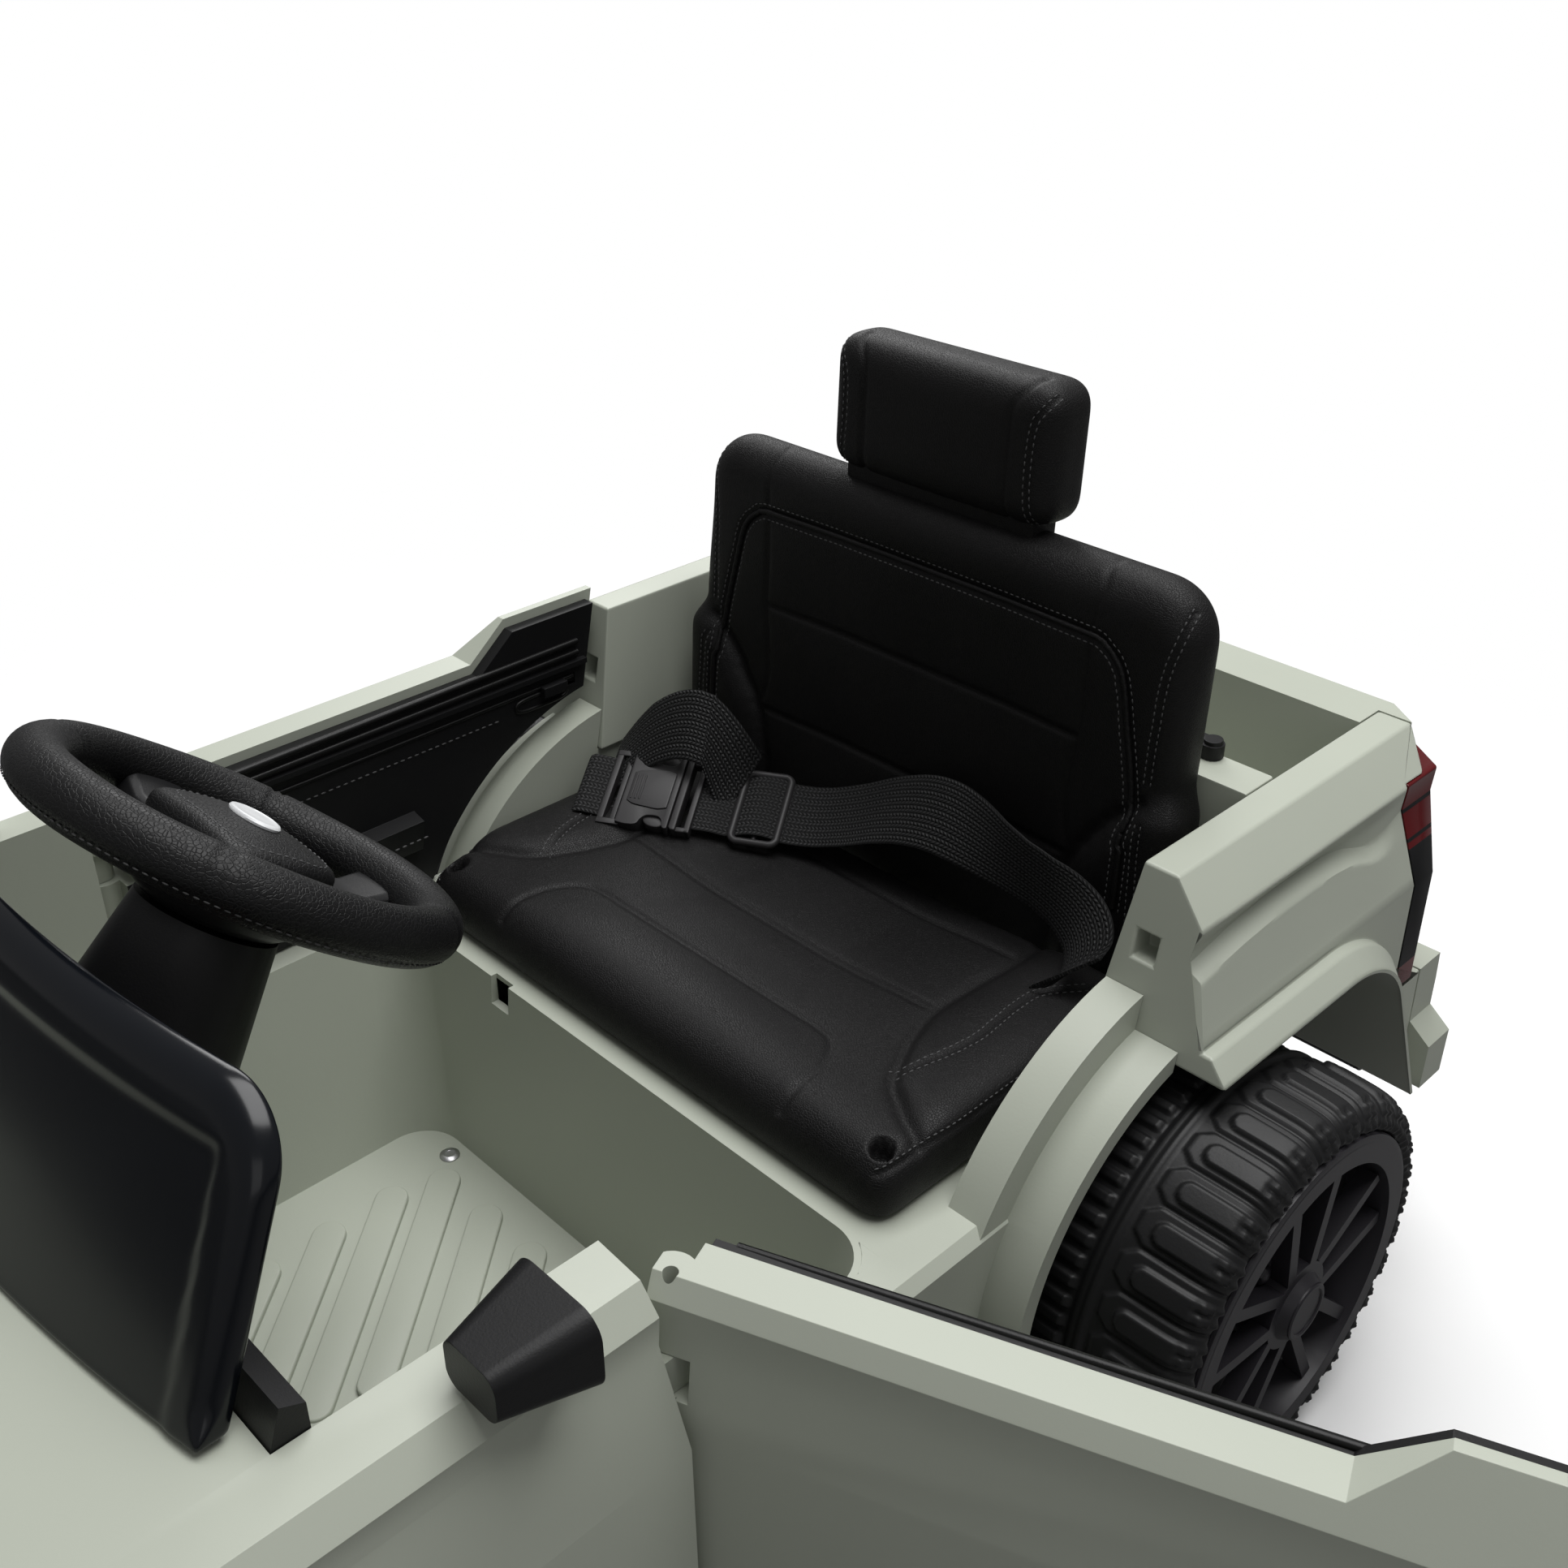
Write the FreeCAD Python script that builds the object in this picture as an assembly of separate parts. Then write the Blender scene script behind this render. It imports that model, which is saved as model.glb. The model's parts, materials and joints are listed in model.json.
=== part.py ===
import FreeCAD, Part
import math
import os

# Electric ride-on pickup for one child, in millimetres.
# The car faces -Y and its left side is +X. Heights below are counted from the ground;
# the finished pieces are set down so that the flat underside of the pan lies at Z = 0.

# Fits and tools
wall = 3.0
seat_gap = 0.3
run_gap = 0.05
swing_gap = 2.5
overrun = 10.0

# Wheels and axles
wheel_base = 580.0
tyre_radius = 104.0
tyre_width = 98.0
wheel_centre_x = 228.0
tread_depth = 6.0
shoulder_drop = 14.0
shoulder_width = 16.0
rim_radius = 86.0
rim_barrel = 72.0
rim_flange = 4.0
rim_proud = 2.0
rim_dish = 20.0
hub_radius = 22.0
hub_length = 60.0
cap_radius = 17.0
cap_height = 5.0
spoke_count = 5
spoke_width = 6.5
spoke_spread = 17.0
spoke_depth = 9.0
rim_web = 4.0
lug_count = 24
lug_length = 30.0
lug_width = 15.0
pad_length = 22.0
pad_width = 13.0
axle_radius = 5.0
axle_reach = 36.0

# Cabin tub
floor_z = 50.0
floor_half = 149.0
sill_half = 178.8
sill_z = 172.0
sill_foot_z = 66.0
sill_top_x = 172.2
sill_foot_x = 153.0
sill_edge = 5.0
sill_outer_x = 193.0
firewall_z = 215.0
firewall_y = -178.0
deck_z = 172.0
deck_front_y = 129.0
deck_wall_lean = 11.0
deck_side_gap = 15.0
deck_notch_x = -85.0
deck_notch_width = 14.0
deck_notch_depth = 16.0
well_corner = 26.0
band_radius = 137.5
band_inner_x = 172.5
band_outer_x = 192.0
lip_inner_radius = 113.0
lip_radius = 122.0
lip_outer_x = 214.0
floor_rib_height = 1.6
floor_rib_width = 15.0
floor_rib_angle = 42.0
floor_rib_x = -108.0
floor_rib_y = 100.0
floor_rib_pitch = 37.0
floor_rib_count = 5
floor_rib_length = 115.0
floor_rib_front_y = -52.0
floor_rib_side_x = 122.0
floor_rib_wall_x = -116.0
floor_rib_wall_ys = (73.0, 36.0, -1.0)

# Body sides, seen from the end: half widths and heights
rail_inner_x = 177.0
rail_outer_x = 194.0
rail_top_z = 296.0
shoulder_x = 211.0
shoulder_z = 278.0
recess_x = 210.0
recess_z = 265.0
flank_x = 224.0
flank_z = 229.0
foot_x = 226.0
flare_x = 238.0
flare_width = 11.0
flare_bevel = 9.0
side_foot_z = 96.0
quarter_foot_x = 168.0

# Rear quarters, bed and rear panel, seen from the side
pillar_top_y = 281.0
pillar_foot_y = 265.0
arch_z = 217.0
arch_corner_y = 409.0
arch_corner_radius = 62.0
flap_foot_y = 466.0
quarter_rear_y = 474.0
rear_top_y = 486.0
rear_end_y = 496.0
rear_waist_z = 150.0
rear_corner_x = 169.0
rear_corner_y = 493.0
rear_corner_slope = 0.737
lamp_proud_y = 12.0
latch_hole_width = 11.0
latch_hole_height = 13.0
latch_hole_depth = 12.0
latch_hole_x = 187.0
latch_hole_z = 260.0
bed_front_y = 381.0
bed_rear_y = 456.0
bed_floor_z = 206.0
bed_wall = 5.0
lamp_inner_x = 190.0
lamp_front_y = 447.0
lamp_low_z = 166.0
lamp_high_z = 279.0
handle_half = 62.0
handle_height = 9.0
handle_depth = 6.0
handle_drop = 12.0
bumper_half = 204.0
bumper_low_z = 84.0
bumper_depth = 21.5

# Front body
jamb_y = -16.0
cowl_z = 288.0
cowl_rear_y = -131.0
cowl_x = 202.5
hood_edge_x = 182.0
hood_z = 292.0
hood_edge_drop = 2.0
hood_front_y = -446.0
hood_front_z = 268.0
nose_y = -480.0
nose_z = 232.0
front_end_y = -488.0
front_arch_half = 150.0
front_arch_top_share = 0.72
front_bay_half = 128.0
body_wall = 5.0
front_bay_front_y = -444.0
grille_half = 128.0
grille_low_z = 134.0
grille_high_z = 222.0
grille_depth = 9.0
grille_bars = 5
grille_bar_height = 8.0
grille_frame = 11.0
head_lamp_inner_x = 136.0
head_lamp_outer_x = 205.0
head_lamp_low_z = 176.0
head_lamp_high_z = 222.0
head_lamp_depth = 30.0
front_bumper_high_z = 124.0
front_bumper_low_z = 58.0
front_bumper_depth = 24.0
front_bumper_half = 222.0
front_bumper_corner = 26.0

# Windshield, dashboard and mirrors
shield_top_z = 378.0
shield_top_y = -103.0
shield_top_half = 150.0
shield_base_y = -147.0
shield_base_half = 165.5
shield_bow = 17.0
shield_thickness = 12.0
shield_corner = 26.0
dash_top_z = 310.0
dash_rear_y = -88.0
dash_lip_z = 296.0
dash_low_z = 262.0
dash_belly_z = 248.0
dash_front_z = 290.0
dash_brow_y = -120.0
dash_edge = 8.0
dash_core_half = 84.0
dash_end_y = -118.0
dash_end_z = 304.0
mirror_x = 208.0
mirror_y = -66.0
mirror_z = 300.5
mirror_half_x = 20.0
mirror_half_z = 15.0
mirror_depth = 32.0
mirror_taper_share = 0.62
mirror_corner = 9.0
mirror_foot_radius = 7.0
mirror_glass_thick = 2.0
mirror_glass_inset = 4.0

# Seat
seat_half = 165.0
seat_front_y = 137.0
seat_rear_y = 316.0
seat_crown_z = 204.0
seat_edge_z = 186.0
seat_draw = 5.0
seat_crown_inset = 20.0
seat_corner = 24.0
seat_hole_radius = 5.0
seat_hole_x = 150.0
seat_hole_y = 153.0
channel_width = 3.0
channel_depth = 2.5
channel_half = 92.0
channel_ys = (238.0, 292.0)
back_lean = 2.6
back_plane_y = 322.9
back_plane_z = 200.0
back_half = 160.0
back_height = 218.0
back_depth = 31.0
back_round = 24.0
back_level_shares = ((0, 1), (0.12, 0.5), (0.34, 0.16), (0.6, 0), (1, 0.25))
back_corner = 34.0
back_channel_shares = (0.33, 0.61)
head_half = 72.0
head_height = 69.0
head_depth = 34.0
head_corner = 17.0
head_set_back = 5.0
head_round = 15.0
head_level_shares = ((0, 1), (0.12, 0.5), (0.27, 0.14), (0.4, 0), (0.8, 0.2), (1, 0.8))

# Lap belt, buckle and slide
belt_width = 38.0
belt_thick = 2.0
belt_angle = 31.0
buckle_x = -120.0
buckle_y = 250.0
buckle_length = 50.0
buckle_width = 48.0
buckle_height = 11.0
plug_length = 20.0
glide_length = 29.0
glide_width = 48.0
glide_height = 3.0
glide_bar = 4.0
glide_offset = 68.0
belt_lift = 5.0
strap_end_x = 146.0
strap_hump_x = 34.0
strap_hump_z = 44.0
strap_turn_x = -29.0
strap_y = 296.0
far_strap_rise = 44.0
strap_step = 25.0
hump_shares = (0.5, 1, 0.75)

# Seat latch
latch_x = 146.0
latch_y = 377.0
latch_length = 44.0
latch_width = 11.0
latch_height = 7.0
latch_screw_radius = 2.5
latch_head_radius = 4.5
latch_head_height = 2.0
latch_screw_depth = 14.0

# Doors
door_front_y = -12.0
door_low_z = 100.0
door_skin_x = 216.0
door_top_z = 286.0
door_step_y = 198.0
door_step_rear_y = 221.0
door_rear_top_z = 305.0
door_arch_radius = 146.0
door_inner_x = 182.0
door_split_x = 189.5
door_open_angle = 68.0
hinge_x = 205.0
hinge_y = -6.0
hinge_pin_radius = 2.5
hinge_barrel_radius = 5.5
hinge_edge_radius = 9.0
hinge_barrel_height = 22.0
hinge_lug_height = 16.0
hinge_low_z = 128.0
hinge_high_z = 240.0
armrest_low_z = 196.0
armrest_high_z = 218.0
armrest_front_y = 8.0
armrest_rear_y = 150.0
armrest_depth = 9.0
panel_inset = 5.0
bolt_width = 5.0
bolt_height = 9.0
bolt_inset = 1.5
bolt_length = 34.0
bolt_travel = 8.0
bolt_knob_length = 16.0
bolt_knob_depth = 5.0

# Steering
steer_x = 0.0
steer_y = -26.0
steer_z = 360.0
steer_tilt = 51.5
steer_ring_radius = 74.0
steer_tube_radius = 11.0
steer_hub_radius = 25.0
steer_hub_depth = 22.0
steer_drop = 12.0
steer_spoke_width = 22.0
steer_spoke_depth = 12.0
pad_half_width = 31.0
pad_half_height = 22.0
pad_thickness = 9.0
pad_travel = 1.5
pad_corner = 10.0
switch_width = 9.0
switch_height = 15.0
switch_rise = 3.0
switch_offset = 46.0
switch_travel = 1.5
shaft_radius = 6.0
shaft_foot_z = 96.0
crank_length = 18.0
crank_pin_length = 12.0
crank_pin_radius = 3.0
shroud_top_radius = 27.0
shroud_foot_radius = 40.0
shroud_top_drop = 28.5
shroud_length = 86.0

# Front suspension and steering linkage
kingpin_x = 160.0
kingpin_radius = 5.0
sleeve_radius = 9.0
sleeve_low_z = 76.0
sleeve_high_z = 132.0
carrier_arm = 9.0
carrier_web_x = 118.0
carrier_web = 12.0
carrier_half = 14.0
steer_arm_length = 45.0
steer_arm_width = 14.0
steer_arm_thick = 8.0
link_pin_radius = 3.0
link_pin_length = 8.0
link_eye_radius = 10.0
link_eye_gap = 3.5
link_radius = 4.0
fork_gap = 5.9
fork_wall = 4.0
fork_rear_y = -212.0
fork_front_y = -250.0
fork_high_z = 88.0

# Underbody, drive and battery
pan_low_z = 38.0
pan_half = 152.0
pan_beam_z = 58.0
front_beam_half = 104.0
front_beam_y = -336.0
rear_beam_half = 116.0
rear_beam_y = 446.0
step_reach = 43.2
step_front_y = -118.0
step_rear_y = 150.0
step_low_z = 46.0
step_corner = 12.0
axle_lug_x = 118.0
axle_lug = 10.0
axle_lug_half = 22.0
axle_lug_rise = 20.0
gear_half_y = 30.0
gear_low_z = 74.0
gear_high_z = 130.0
gear_corner = 10.0
motor_radius = 18.0
motor_length = 62.0
battery_half_x = 76.0
battery_front_y = 160.0
battery_rear_y = 226.0
battery_height = 94.0
battery_corner = 5.0

# Pedal and dashboard switches
pedal_x = -70.0
pedal_y = -72.0
pedal_half = 27.0
pedal_length = 92.0
pedal_thick = 7.0
pedal_angle = 24.0
pedal_pin_radius = 4.0
pedal_lug = 7.0
pedal_rib_count = 5
pedal_rib = 3.0
button_x = 62.0
button_radius = 9.0
button_height = 9.0
button_proud = 4.0
rocker_x = -62.0
rocker_half_x = 8.0
rocker_half_y = 9.0
rocker_height = 10.0
rocker_pin_radius = 2.0
rocker_proud = 4.0

front_axle_y = -wheel_base / 2
rear_axle_y = wheel_base / 2
axle_z = tyre_radius
tyre_inner_x = wheel_centre_x - tyre_width / 2
deck_half = tyre_inner_x - deck_side_gap
gear_outer_x = deck_half - wall - seat_gap
tyre_outer_x = wheel_centre_x + tyre_width / 2
tub_low_z = floor_z - wall
cabin_half = sill_half + wall + seat_gap
step_out_x = sill_half + step_reach
lean = math.radians(back_lean)
tilt = math.radians(steer_tilt)
axis_x = FreeCAD.Vector(1, 0, 0)
axis_y = FreeCAD.Vector(0, 1, 0)
axis_z = FreeCAD.Vector(0, 0, 1)
origin = FreeCAD.Vector(0, 0, 0)
steer_axis = FreeCAD.Vector(0, math.cos(tilt), math.sin(tilt))
steer_down = FreeCAD.Vector(0, math.sin(tilt), -math.cos(tilt))
steer_centre = FreeCAD.Vector(steer_x, steer_y, steer_z)
parallel_limit = 0.999
full_turn = 360.0


def vec(x, y, z):
    return FreeCAD.Vector(x, y, z)


def face_of(corners):
    return Part.Face(Part.makePolygon(corners + corners[:1]))


def prism_x(points, low, high):
    return face_of([vec(low, y, z) for y, z in points]).extrude(vec(high - low, 0, 0))


def prism_y(points, low, high):
    return face_of([vec(x, low, z) for x, z in points]).extrude(vec(0, high - low, 0))


def prism_z(points, low, high):
    return face_of([vec(x, y, low) for x, y in points]).extrude(vec(0, 0, high - low))


def block(low_x, high_x, low_y, high_y, low_z, high_z):
    return Part.makeBox(high_x - low_x, high_y - low_y, high_z - low_z, vec(low_x, low_y, low_z))


def rod(start, end, radius):
    return Part.makeCylinder(radius, (end - start).Length, start, end - start)


def mirrored(shape):
    return shape.mirror(origin, axis_x)


def joined(shapes):
    return shapes[0].fuse(shapes[1:]).removeSplitter()


def turned(shape, centre, axis, angle):
    copy = shape.copy()
    copy.rotate(centre, axis, angle)
    return copy


def moved(shape, offset):
    copy = shape.copy()
    copy.translate(offset)
    return copy


def runs_along(edge, axis):
    if not isinstance(edge.Curve, Part.Line):
        return False
    return abs(edge.tangentAt(edge.FirstParameter).dot(axis)) > parallel_limit


def rounded(shape, axis, radius, chosen=None):
    edges = [edge for edge in shape.Edges if runs_along(edge, axis)]
    if chosen:
        edges = [edge for edge in edges if chosen(edge.CenterOfMass)]
    return shape.makeFillet(radius, edges)


def rounded_block(low_x, high_x, low_y, high_y, low_z, high_z, axis, radius):
    return rounded(block(low_x, high_x, low_y, high_y, low_z, high_z), axis, radius)


def rounded_loop(half, low, high, radius, level, upright=False):
    # a rounded rectangle, lying flat or standing up
    kappa = radius * (1 - math.sqrt(2) / 2)
    marks = [
        (-half + radius, low, half - radius, low, half - kappa, low + kappa),
        (half, low + radius, half, high - radius, half - kappa, high - kappa),
        (half - radius, high, -half + radius, high, -half + kappa, high - kappa),
        (-half, high - radius, -half, low + radius, -half + kappa, low + kappa),
    ]

    def place(u, v):
        return vec(u, level, v) if upright else vec(u, v, level)

    edges = []
    for index, (u0, v0, u1, v1, um, vm) in enumerate(marks):
        following = marks[(index + 1) % len(marks)]
        edges.append(Part.LineSegment(place(u0, v0), place(u1, v1)).toShape())
        edges.append(Part.Arc(place(u1, v1), place(um, vm), place(following[0], following[1])).toShape())
    return Part.Wire(edges)


def body_side(foot_z):
    # outline of one body side from its foot to the rail, seen from the end
    return [
        (foot_x, foot_z),
        (flank_x, flank_z),
        (recess_x, recess_z),
        (shoulder_x, shoulder_z),
    ]


def pillar_y(z):
    share = (z - arch_z) / (rail_top_z - arch_z)
    return pillar_foot_y + (pillar_top_y - pillar_foot_y) * share


def back_y(z, depth):
    # Y of a plane that lies the given depth behind the backrest's face
    return back_plane_y + (z - back_plane_z) * math.tan(lean) + depth / math.cos(lean)


def floor_ribs():
    # far end and length of each slanted rib; they keep clear of the pedal and the near wall
    along_x = math.sin(math.radians(floor_rib_angle))
    along_y = math.cos(math.radians(floor_rib_angle))
    ribs = []
    for index in range(floor_rib_count):
        x = floor_rib_x + floor_rib_pitch * index
        ribs.append((x, floor_rib_y, min(floor_rib_length, (floor_rib_side_x - x) / along_x)))
    for y in floor_rib_wall_ys:
        ribs.append((floor_rib_wall_x, y, (y - floor_rib_front_y) / along_y))
    return ribs


def make_tub():
    slope = deck_wall_lean / (deck_z - floor_z)
    wall_top_y = deck_front_y + slope * (firewall_z - deck_z)
    low = Part.makeLoft([
        rounded_loop(floor_half + wall, firewall_y - wall, deck_front_y - deck_wall_lean + wall,
                     well_corner, tub_low_z),
        rounded_loop(sill_half + wall, firewall_y - wall, wall_top_y + wall, well_corner, firewall_z),
    ], True, True)
    hollow = Part.makeLoft([
        rounded_loop(floor_half, firewall_y, deck_front_y - deck_wall_lean, well_corner - wall, floor_z),
        rounded_loop(sill_half, firewall_y, wall_top_y, well_corner - wall, firewall_z),
    ], True, True)
    well = low.cut(hollow)
    reach = sill_half + overrun
    well = well.cut(block(-reach, reach, jamb_y, deck_front_y - deck_wall_lean, sill_z,
                          firewall_z + overrun))
    well = well.cut(block(-reach, reach, deck_front_y - deck_wall_lean, deck_front_y + reach,
                          deck_z, firewall_z + overrun))

    deck_rear_y = back_y(deck_z, back_depth) - seat_gap
    deck = block(-deck_half, deck_half, deck_front_y, deck_rear_y, tub_low_z, deck_z)
    deck = deck.cut(block(-deck_half + wall, deck_half - wall, deck_front_y + wall, deck_rear_y - wall,
                          tub_low_z - overrun, deck_z - wall))
    notch = block(deck_notch_x - deck_notch_width / 2, deck_notch_x + deck_notch_width / 2,
                  deck_front_y - deck_wall_lean, deck_front_y + wall + seat_gap,
                  deck_z - deck_notch_depth, deck_z + overrun)

    axle = vec(0, rear_axle_y, axle_z)
    sides = []
    tall = band_radius + overrun
    mask = [
        (rear_axle_y - tall, sill_foot_z),
        (rear_axle_y - tall, axle_z + tall),
        (pillar_y(axle_z + tall) - seat_gap, axle_z + tall),
        (pillar_y(sill_foot_z) - seat_gap, sill_foot_z),
    ]
    wheel_room = rod(axle, axle + axis_x * flare_x, lip_inner_radius)
    for inner, outer, low_x, high_x in (
        (lip_inner_radius, band_radius, band_inner_x, band_outer_x),
        (lip_inner_radius, lip_radius, band_inner_x, lip_outer_x),
    ):
        ring = rod(axle + axis_x * low_x, axle + axis_x * high_x, outer)
        ring = ring.cut(rod(axle + axis_x * (low_x - overrun), axle + axis_x * (high_x + overrun), inner))
        sides.append(ring.common(prism_x(mask, low_x, high_x)))
    sill = prism_y([
        (sill_top_x, sill_z),
        (sill_outer_x - sill_edge, sill_z),
        (sill_outer_x, sill_z - sill_edge),
        (sill_outer_x, sill_foot_z),
        (sill_foot_x, sill_foot_z),
    ], jamb_y + seat_gap, rear_axle_y)
    sides.append(sill.cut(wheel_room))
    sides.append(block(deck_half - wall, tyre_inner_x - swing_gap, deck_front_y, deck_rear_y,
                       deck_z - wall, deck_z))
    closing = rod(axle + axis_x * band_inner_x, axle + axis_x * (band_inner_x + wall), band_radius)
    closing = closing.common(prism_x(mask, band_inner_x, band_inner_x + wall))
    sides.append(closing.common(block(0, flare_x, 0, rear_axle_y, deck_z - wall, arch_z + band_radius)))
    pillar_wall = [
        (pillar_y(deck_z) - wall, deck_z - wall),
        (pillar_y(arch_z) - wall, arch_z - seat_gap),
        (deck_rear_y, arch_z - seat_gap),
        (deck_rear_y, deck_z - wall),
    ]
    sides.append(prism_x(pillar_wall, band_inner_x, tyre_inner_x - swing_gap))
    side = joined(sides)
    tub = joined([well, deck, side, mirrored(side)]).cut(notch)

    ribs = []
    for x, y, length in floor_ribs():
        rib = rounded_block(-floor_rib_width / 2, floor_rib_width / 2, -length, 0, floor_z - wall / 2,
                            floor_z + floor_rib_height, axis_z, floor_rib_width / 2 - run_gap)
        ribs.append(moved(turned(rib, origin, axis_z, floor_rib_angle), vec(x, y, 0)))
    tub = joined([tub] + ribs)
    shaft_hole = rod(steer_centre, steer_centre - steer_axis * wheel_base, shaft_radius + seat_gap)
    axle_hole = rod(axle - axis_x * flare_x, axle + axis_x * flare_x, axle_radius + swing_gap)
    beam = rear_beam_half + seat_gap
    beam_room = block(-beam, beam, deck_front_y + wall * 2 - seat_gap, rear_beam_y, 0,
                      pan_beam_z + seat_gap)
    return tub.cut(shaft_hole).cut(axle_hole).cut(beam_room)


def rear_arch(grow, low_x, high_x):
    # the opening over a rear wheel; grow widens it to the flare's outer line
    corner_y = arch_corner_y + grow / 2
    points = [
        (rear_axle_y - band_radius, arch_z + grow),
        (corner_y, arch_z + grow),
        (flap_foot_y + grow, side_foot_z),
        (flap_foot_y + grow, -overrun),
        (rear_axle_y - band_radius, -overrun),
    ]

    def at_corner(middle):
        return abs(middle.y - corner_y) < wall and middle.z > arch_z - wall

    return rounded(prism_x(points, low_x, high_x), axis_x, arch_corner_radius + grow, at_corner)


def front_arch(grow, low_x, high_x):
    # the opening over a front wheel, long enough for the wheel to steer
    half = front_arch_half + grow
    top = front_arch_half * front_arch_top_share + grow / 2
    points = [
        (front_axle_y - half, -overrun),
        (front_axle_y - half, side_foot_z),
        (front_axle_y - top, arch_z + grow),
        (front_axle_y + top, arch_z + grow),
        (front_axle_y + half, side_foot_z),
        (front_axle_y + half, -overrun),
    ]
    return rounded(prism_x(points, low_x, high_x), axis_x, arch_corner_radius / 2 + grow,
                   lambda middle: middle.z > arch_z - wall)


def bevelled(flare):
    # the outer edge of a flare slopes back to the body side
    edges = []
    for edge in flare.Edges:
        middle = edge.CenterOfMass
        upper = edge.BoundBox.ZMax > side_foot_z + wall
        if upper and edge.BoundBox.XMin > flare_x - run_gap and middle.z > side_foot_z:
            edges.append(edge)
    return flare.makeChamfer(flare_bevel, edges)


def quarter_outline():
    return [
        (pillar_y(side_foot_z), side_foot_z),
        (pillar_top_y, rail_top_z),
        (quarter_rear_y, rail_top_z),
        (quarter_rear_y, side_foot_z),
    ]


def rear_corner(proud):
    # the wedge that slopes a rear corner of the body in plan
    outer = flare_x + overrun
    foot = rear_corner_y + proud - (outer - rear_corner_x) * rear_corner_slope
    wedge = [
        (rear_corner_x, rear_corner_y + proud),
        (outer, foot),
        (outer, rear_end_y + wheel_base),
        (rear_corner_x, rear_end_y + wheel_base),
    ]
    return prism_z(wedge, lamp_low_z, rail_top_z + overrun)


def lamp_room(gap):
    return block(lamp_inner_x + gap, flare_x, lamp_front_y + gap, rear_end_y + overrun,
                 lamp_low_z + gap, lamp_high_z - gap)


def make_quarter():
    side = body_side(side_foot_z)
    section = [
        (quarter_foot_x, side_foot_z),
        (quarter_foot_x, bed_floor_z),
        (rail_inner_x, rail_top_z),
        (rail_outer_x, rail_top_z),
    ] + side[::-1]
    outline = prism_x(quarter_outline(), 0, flare_x)
    skin = prism_y(section, pillar_y(side_foot_z) - overrun, quarter_rear_y).common(outline)
    flare = bevelled(rear_arch(flare_width, recess_x, flare_x)).common(outline)
    quarter = joined([skin, flare])
    quarter = quarter.cut(rear_arch(0, quarter_foot_x - overrun, flare_x + overrun))
    hole = block(latch_hole_x - latch_hole_width / 2, latch_hole_x + latch_hole_width / 2,
                 pillar_foot_y, pillar_y(latch_hole_z) + latch_hole_depth,
                 latch_hole_z - latch_hole_height / 2, latch_hole_z + latch_hole_height / 2)
    return quarter.cut(hole).cut(lamp_room(0)).cut(rear_corner(0))


def full_section(foot_z, top):
    right = body_side(foot_z) + top
    left = [(-x, z) for x, z in right[::-1] if x > 0]
    return right + left


def rear_face_y(z):
    share = (rail_top_z - z) / (rail_top_z - rear_waist_z)
    return rear_top_y + (rear_end_y - rear_top_y) * share


def rear_shell(front_y):
    section = full_section(side_foot_z, [(rail_outer_x, rail_top_z)])
    outline = [
        (front_y, rail_top_z),
        (rear_top_y, rail_top_z),
        (rear_end_y, rear_waist_z),
        (rear_end_y, side_foot_z),
        (front_y, side_foot_z),
    ]
    return prism_y(section, front_y, rear_end_y).common(prism_x(outline, -flare_x, flare_x))


def bed_slice(low_y, high_y, low_z):
    # the room between the two rear quarters
    foot = quarter_foot_x - seat_gap
    section = [
        (-foot, low_z),
        (foot, low_z),
        (foot, bed_floor_z),
        (rail_inner_x - seat_gap, rail_top_z),
        (-rail_inner_x + seat_gap, rail_top_z),
        (-foot, bed_floor_z),
    ]
    return prism_y(section, low_y, high_y)


def handle_room(gap):
    high = rail_top_z - handle_drop - gap
    low = rail_top_z - handle_drop - handle_height + gap
    return block(-handle_half + gap, handle_half - gap, rear_top_y - handle_depth + gap, rear_end_y, low,
                 high)


def make_rear_panel():
    front_y = quarter_rear_y + seat_gap
    shell = rear_shell(front_y)
    shell = shell.cut(block(-bumper_half, bumper_half, front_y - overrun, rear_end_y + overrun,
                            side_foot_z - overrun, rear_waist_z))
    corner = [
        (bumper_half, side_foot_z),
        (flare_x, side_foot_z),
        (flare_x, (side_foot_z + rear_waist_z) / 2),
        (bumper_half, rear_waist_z),
    ]
    flap = prism_y(corner, front_y, rear_end_y)
    gate = bed_slice(bed_rear_y + seat_gap, front_y, bed_floor_z)
    panel = joined([shell, flap, mirrored(flap), gate])
    lamps = lamp_room(0)
    corner = rear_corner(0)
    panel = panel.cut(lamps).cut(mirrored(lamps)).cut(handle_room(0))
    return panel.cut(corner).cut(mirrored(corner))


def make_tail_lamp():
    return rear_shell(lamp_front_y).common(lamp_room(seat_gap)).cut(rear_corner(lamp_proud_y))


def make_tailgate_handle():
    return handle_room(seat_gap).cut(block(-handle_half, handle_half, rear_face_y(rear_waist_z) - wall,
                                           rear_end_y + overrun, bed_floor_z, rail_top_z))


def make_rear_bumper():
    half = bumper_half - seat_gap
    bar = block(-half, half, rear_end_y - bumper_depth, rear_end_y, bumper_low_z, rear_waist_z - seat_gap)
    bar = rounded(bar, axis_x, bumper_depth / 3)
    step = block(-handle_half, handle_half, rear_end_y - bumper_depth / 4, rear_end_y + overrun,
                 bumper_low_z + bumper_depth, rear_waist_z - bumper_depth / 2)
    return bar.cut(step)


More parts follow.
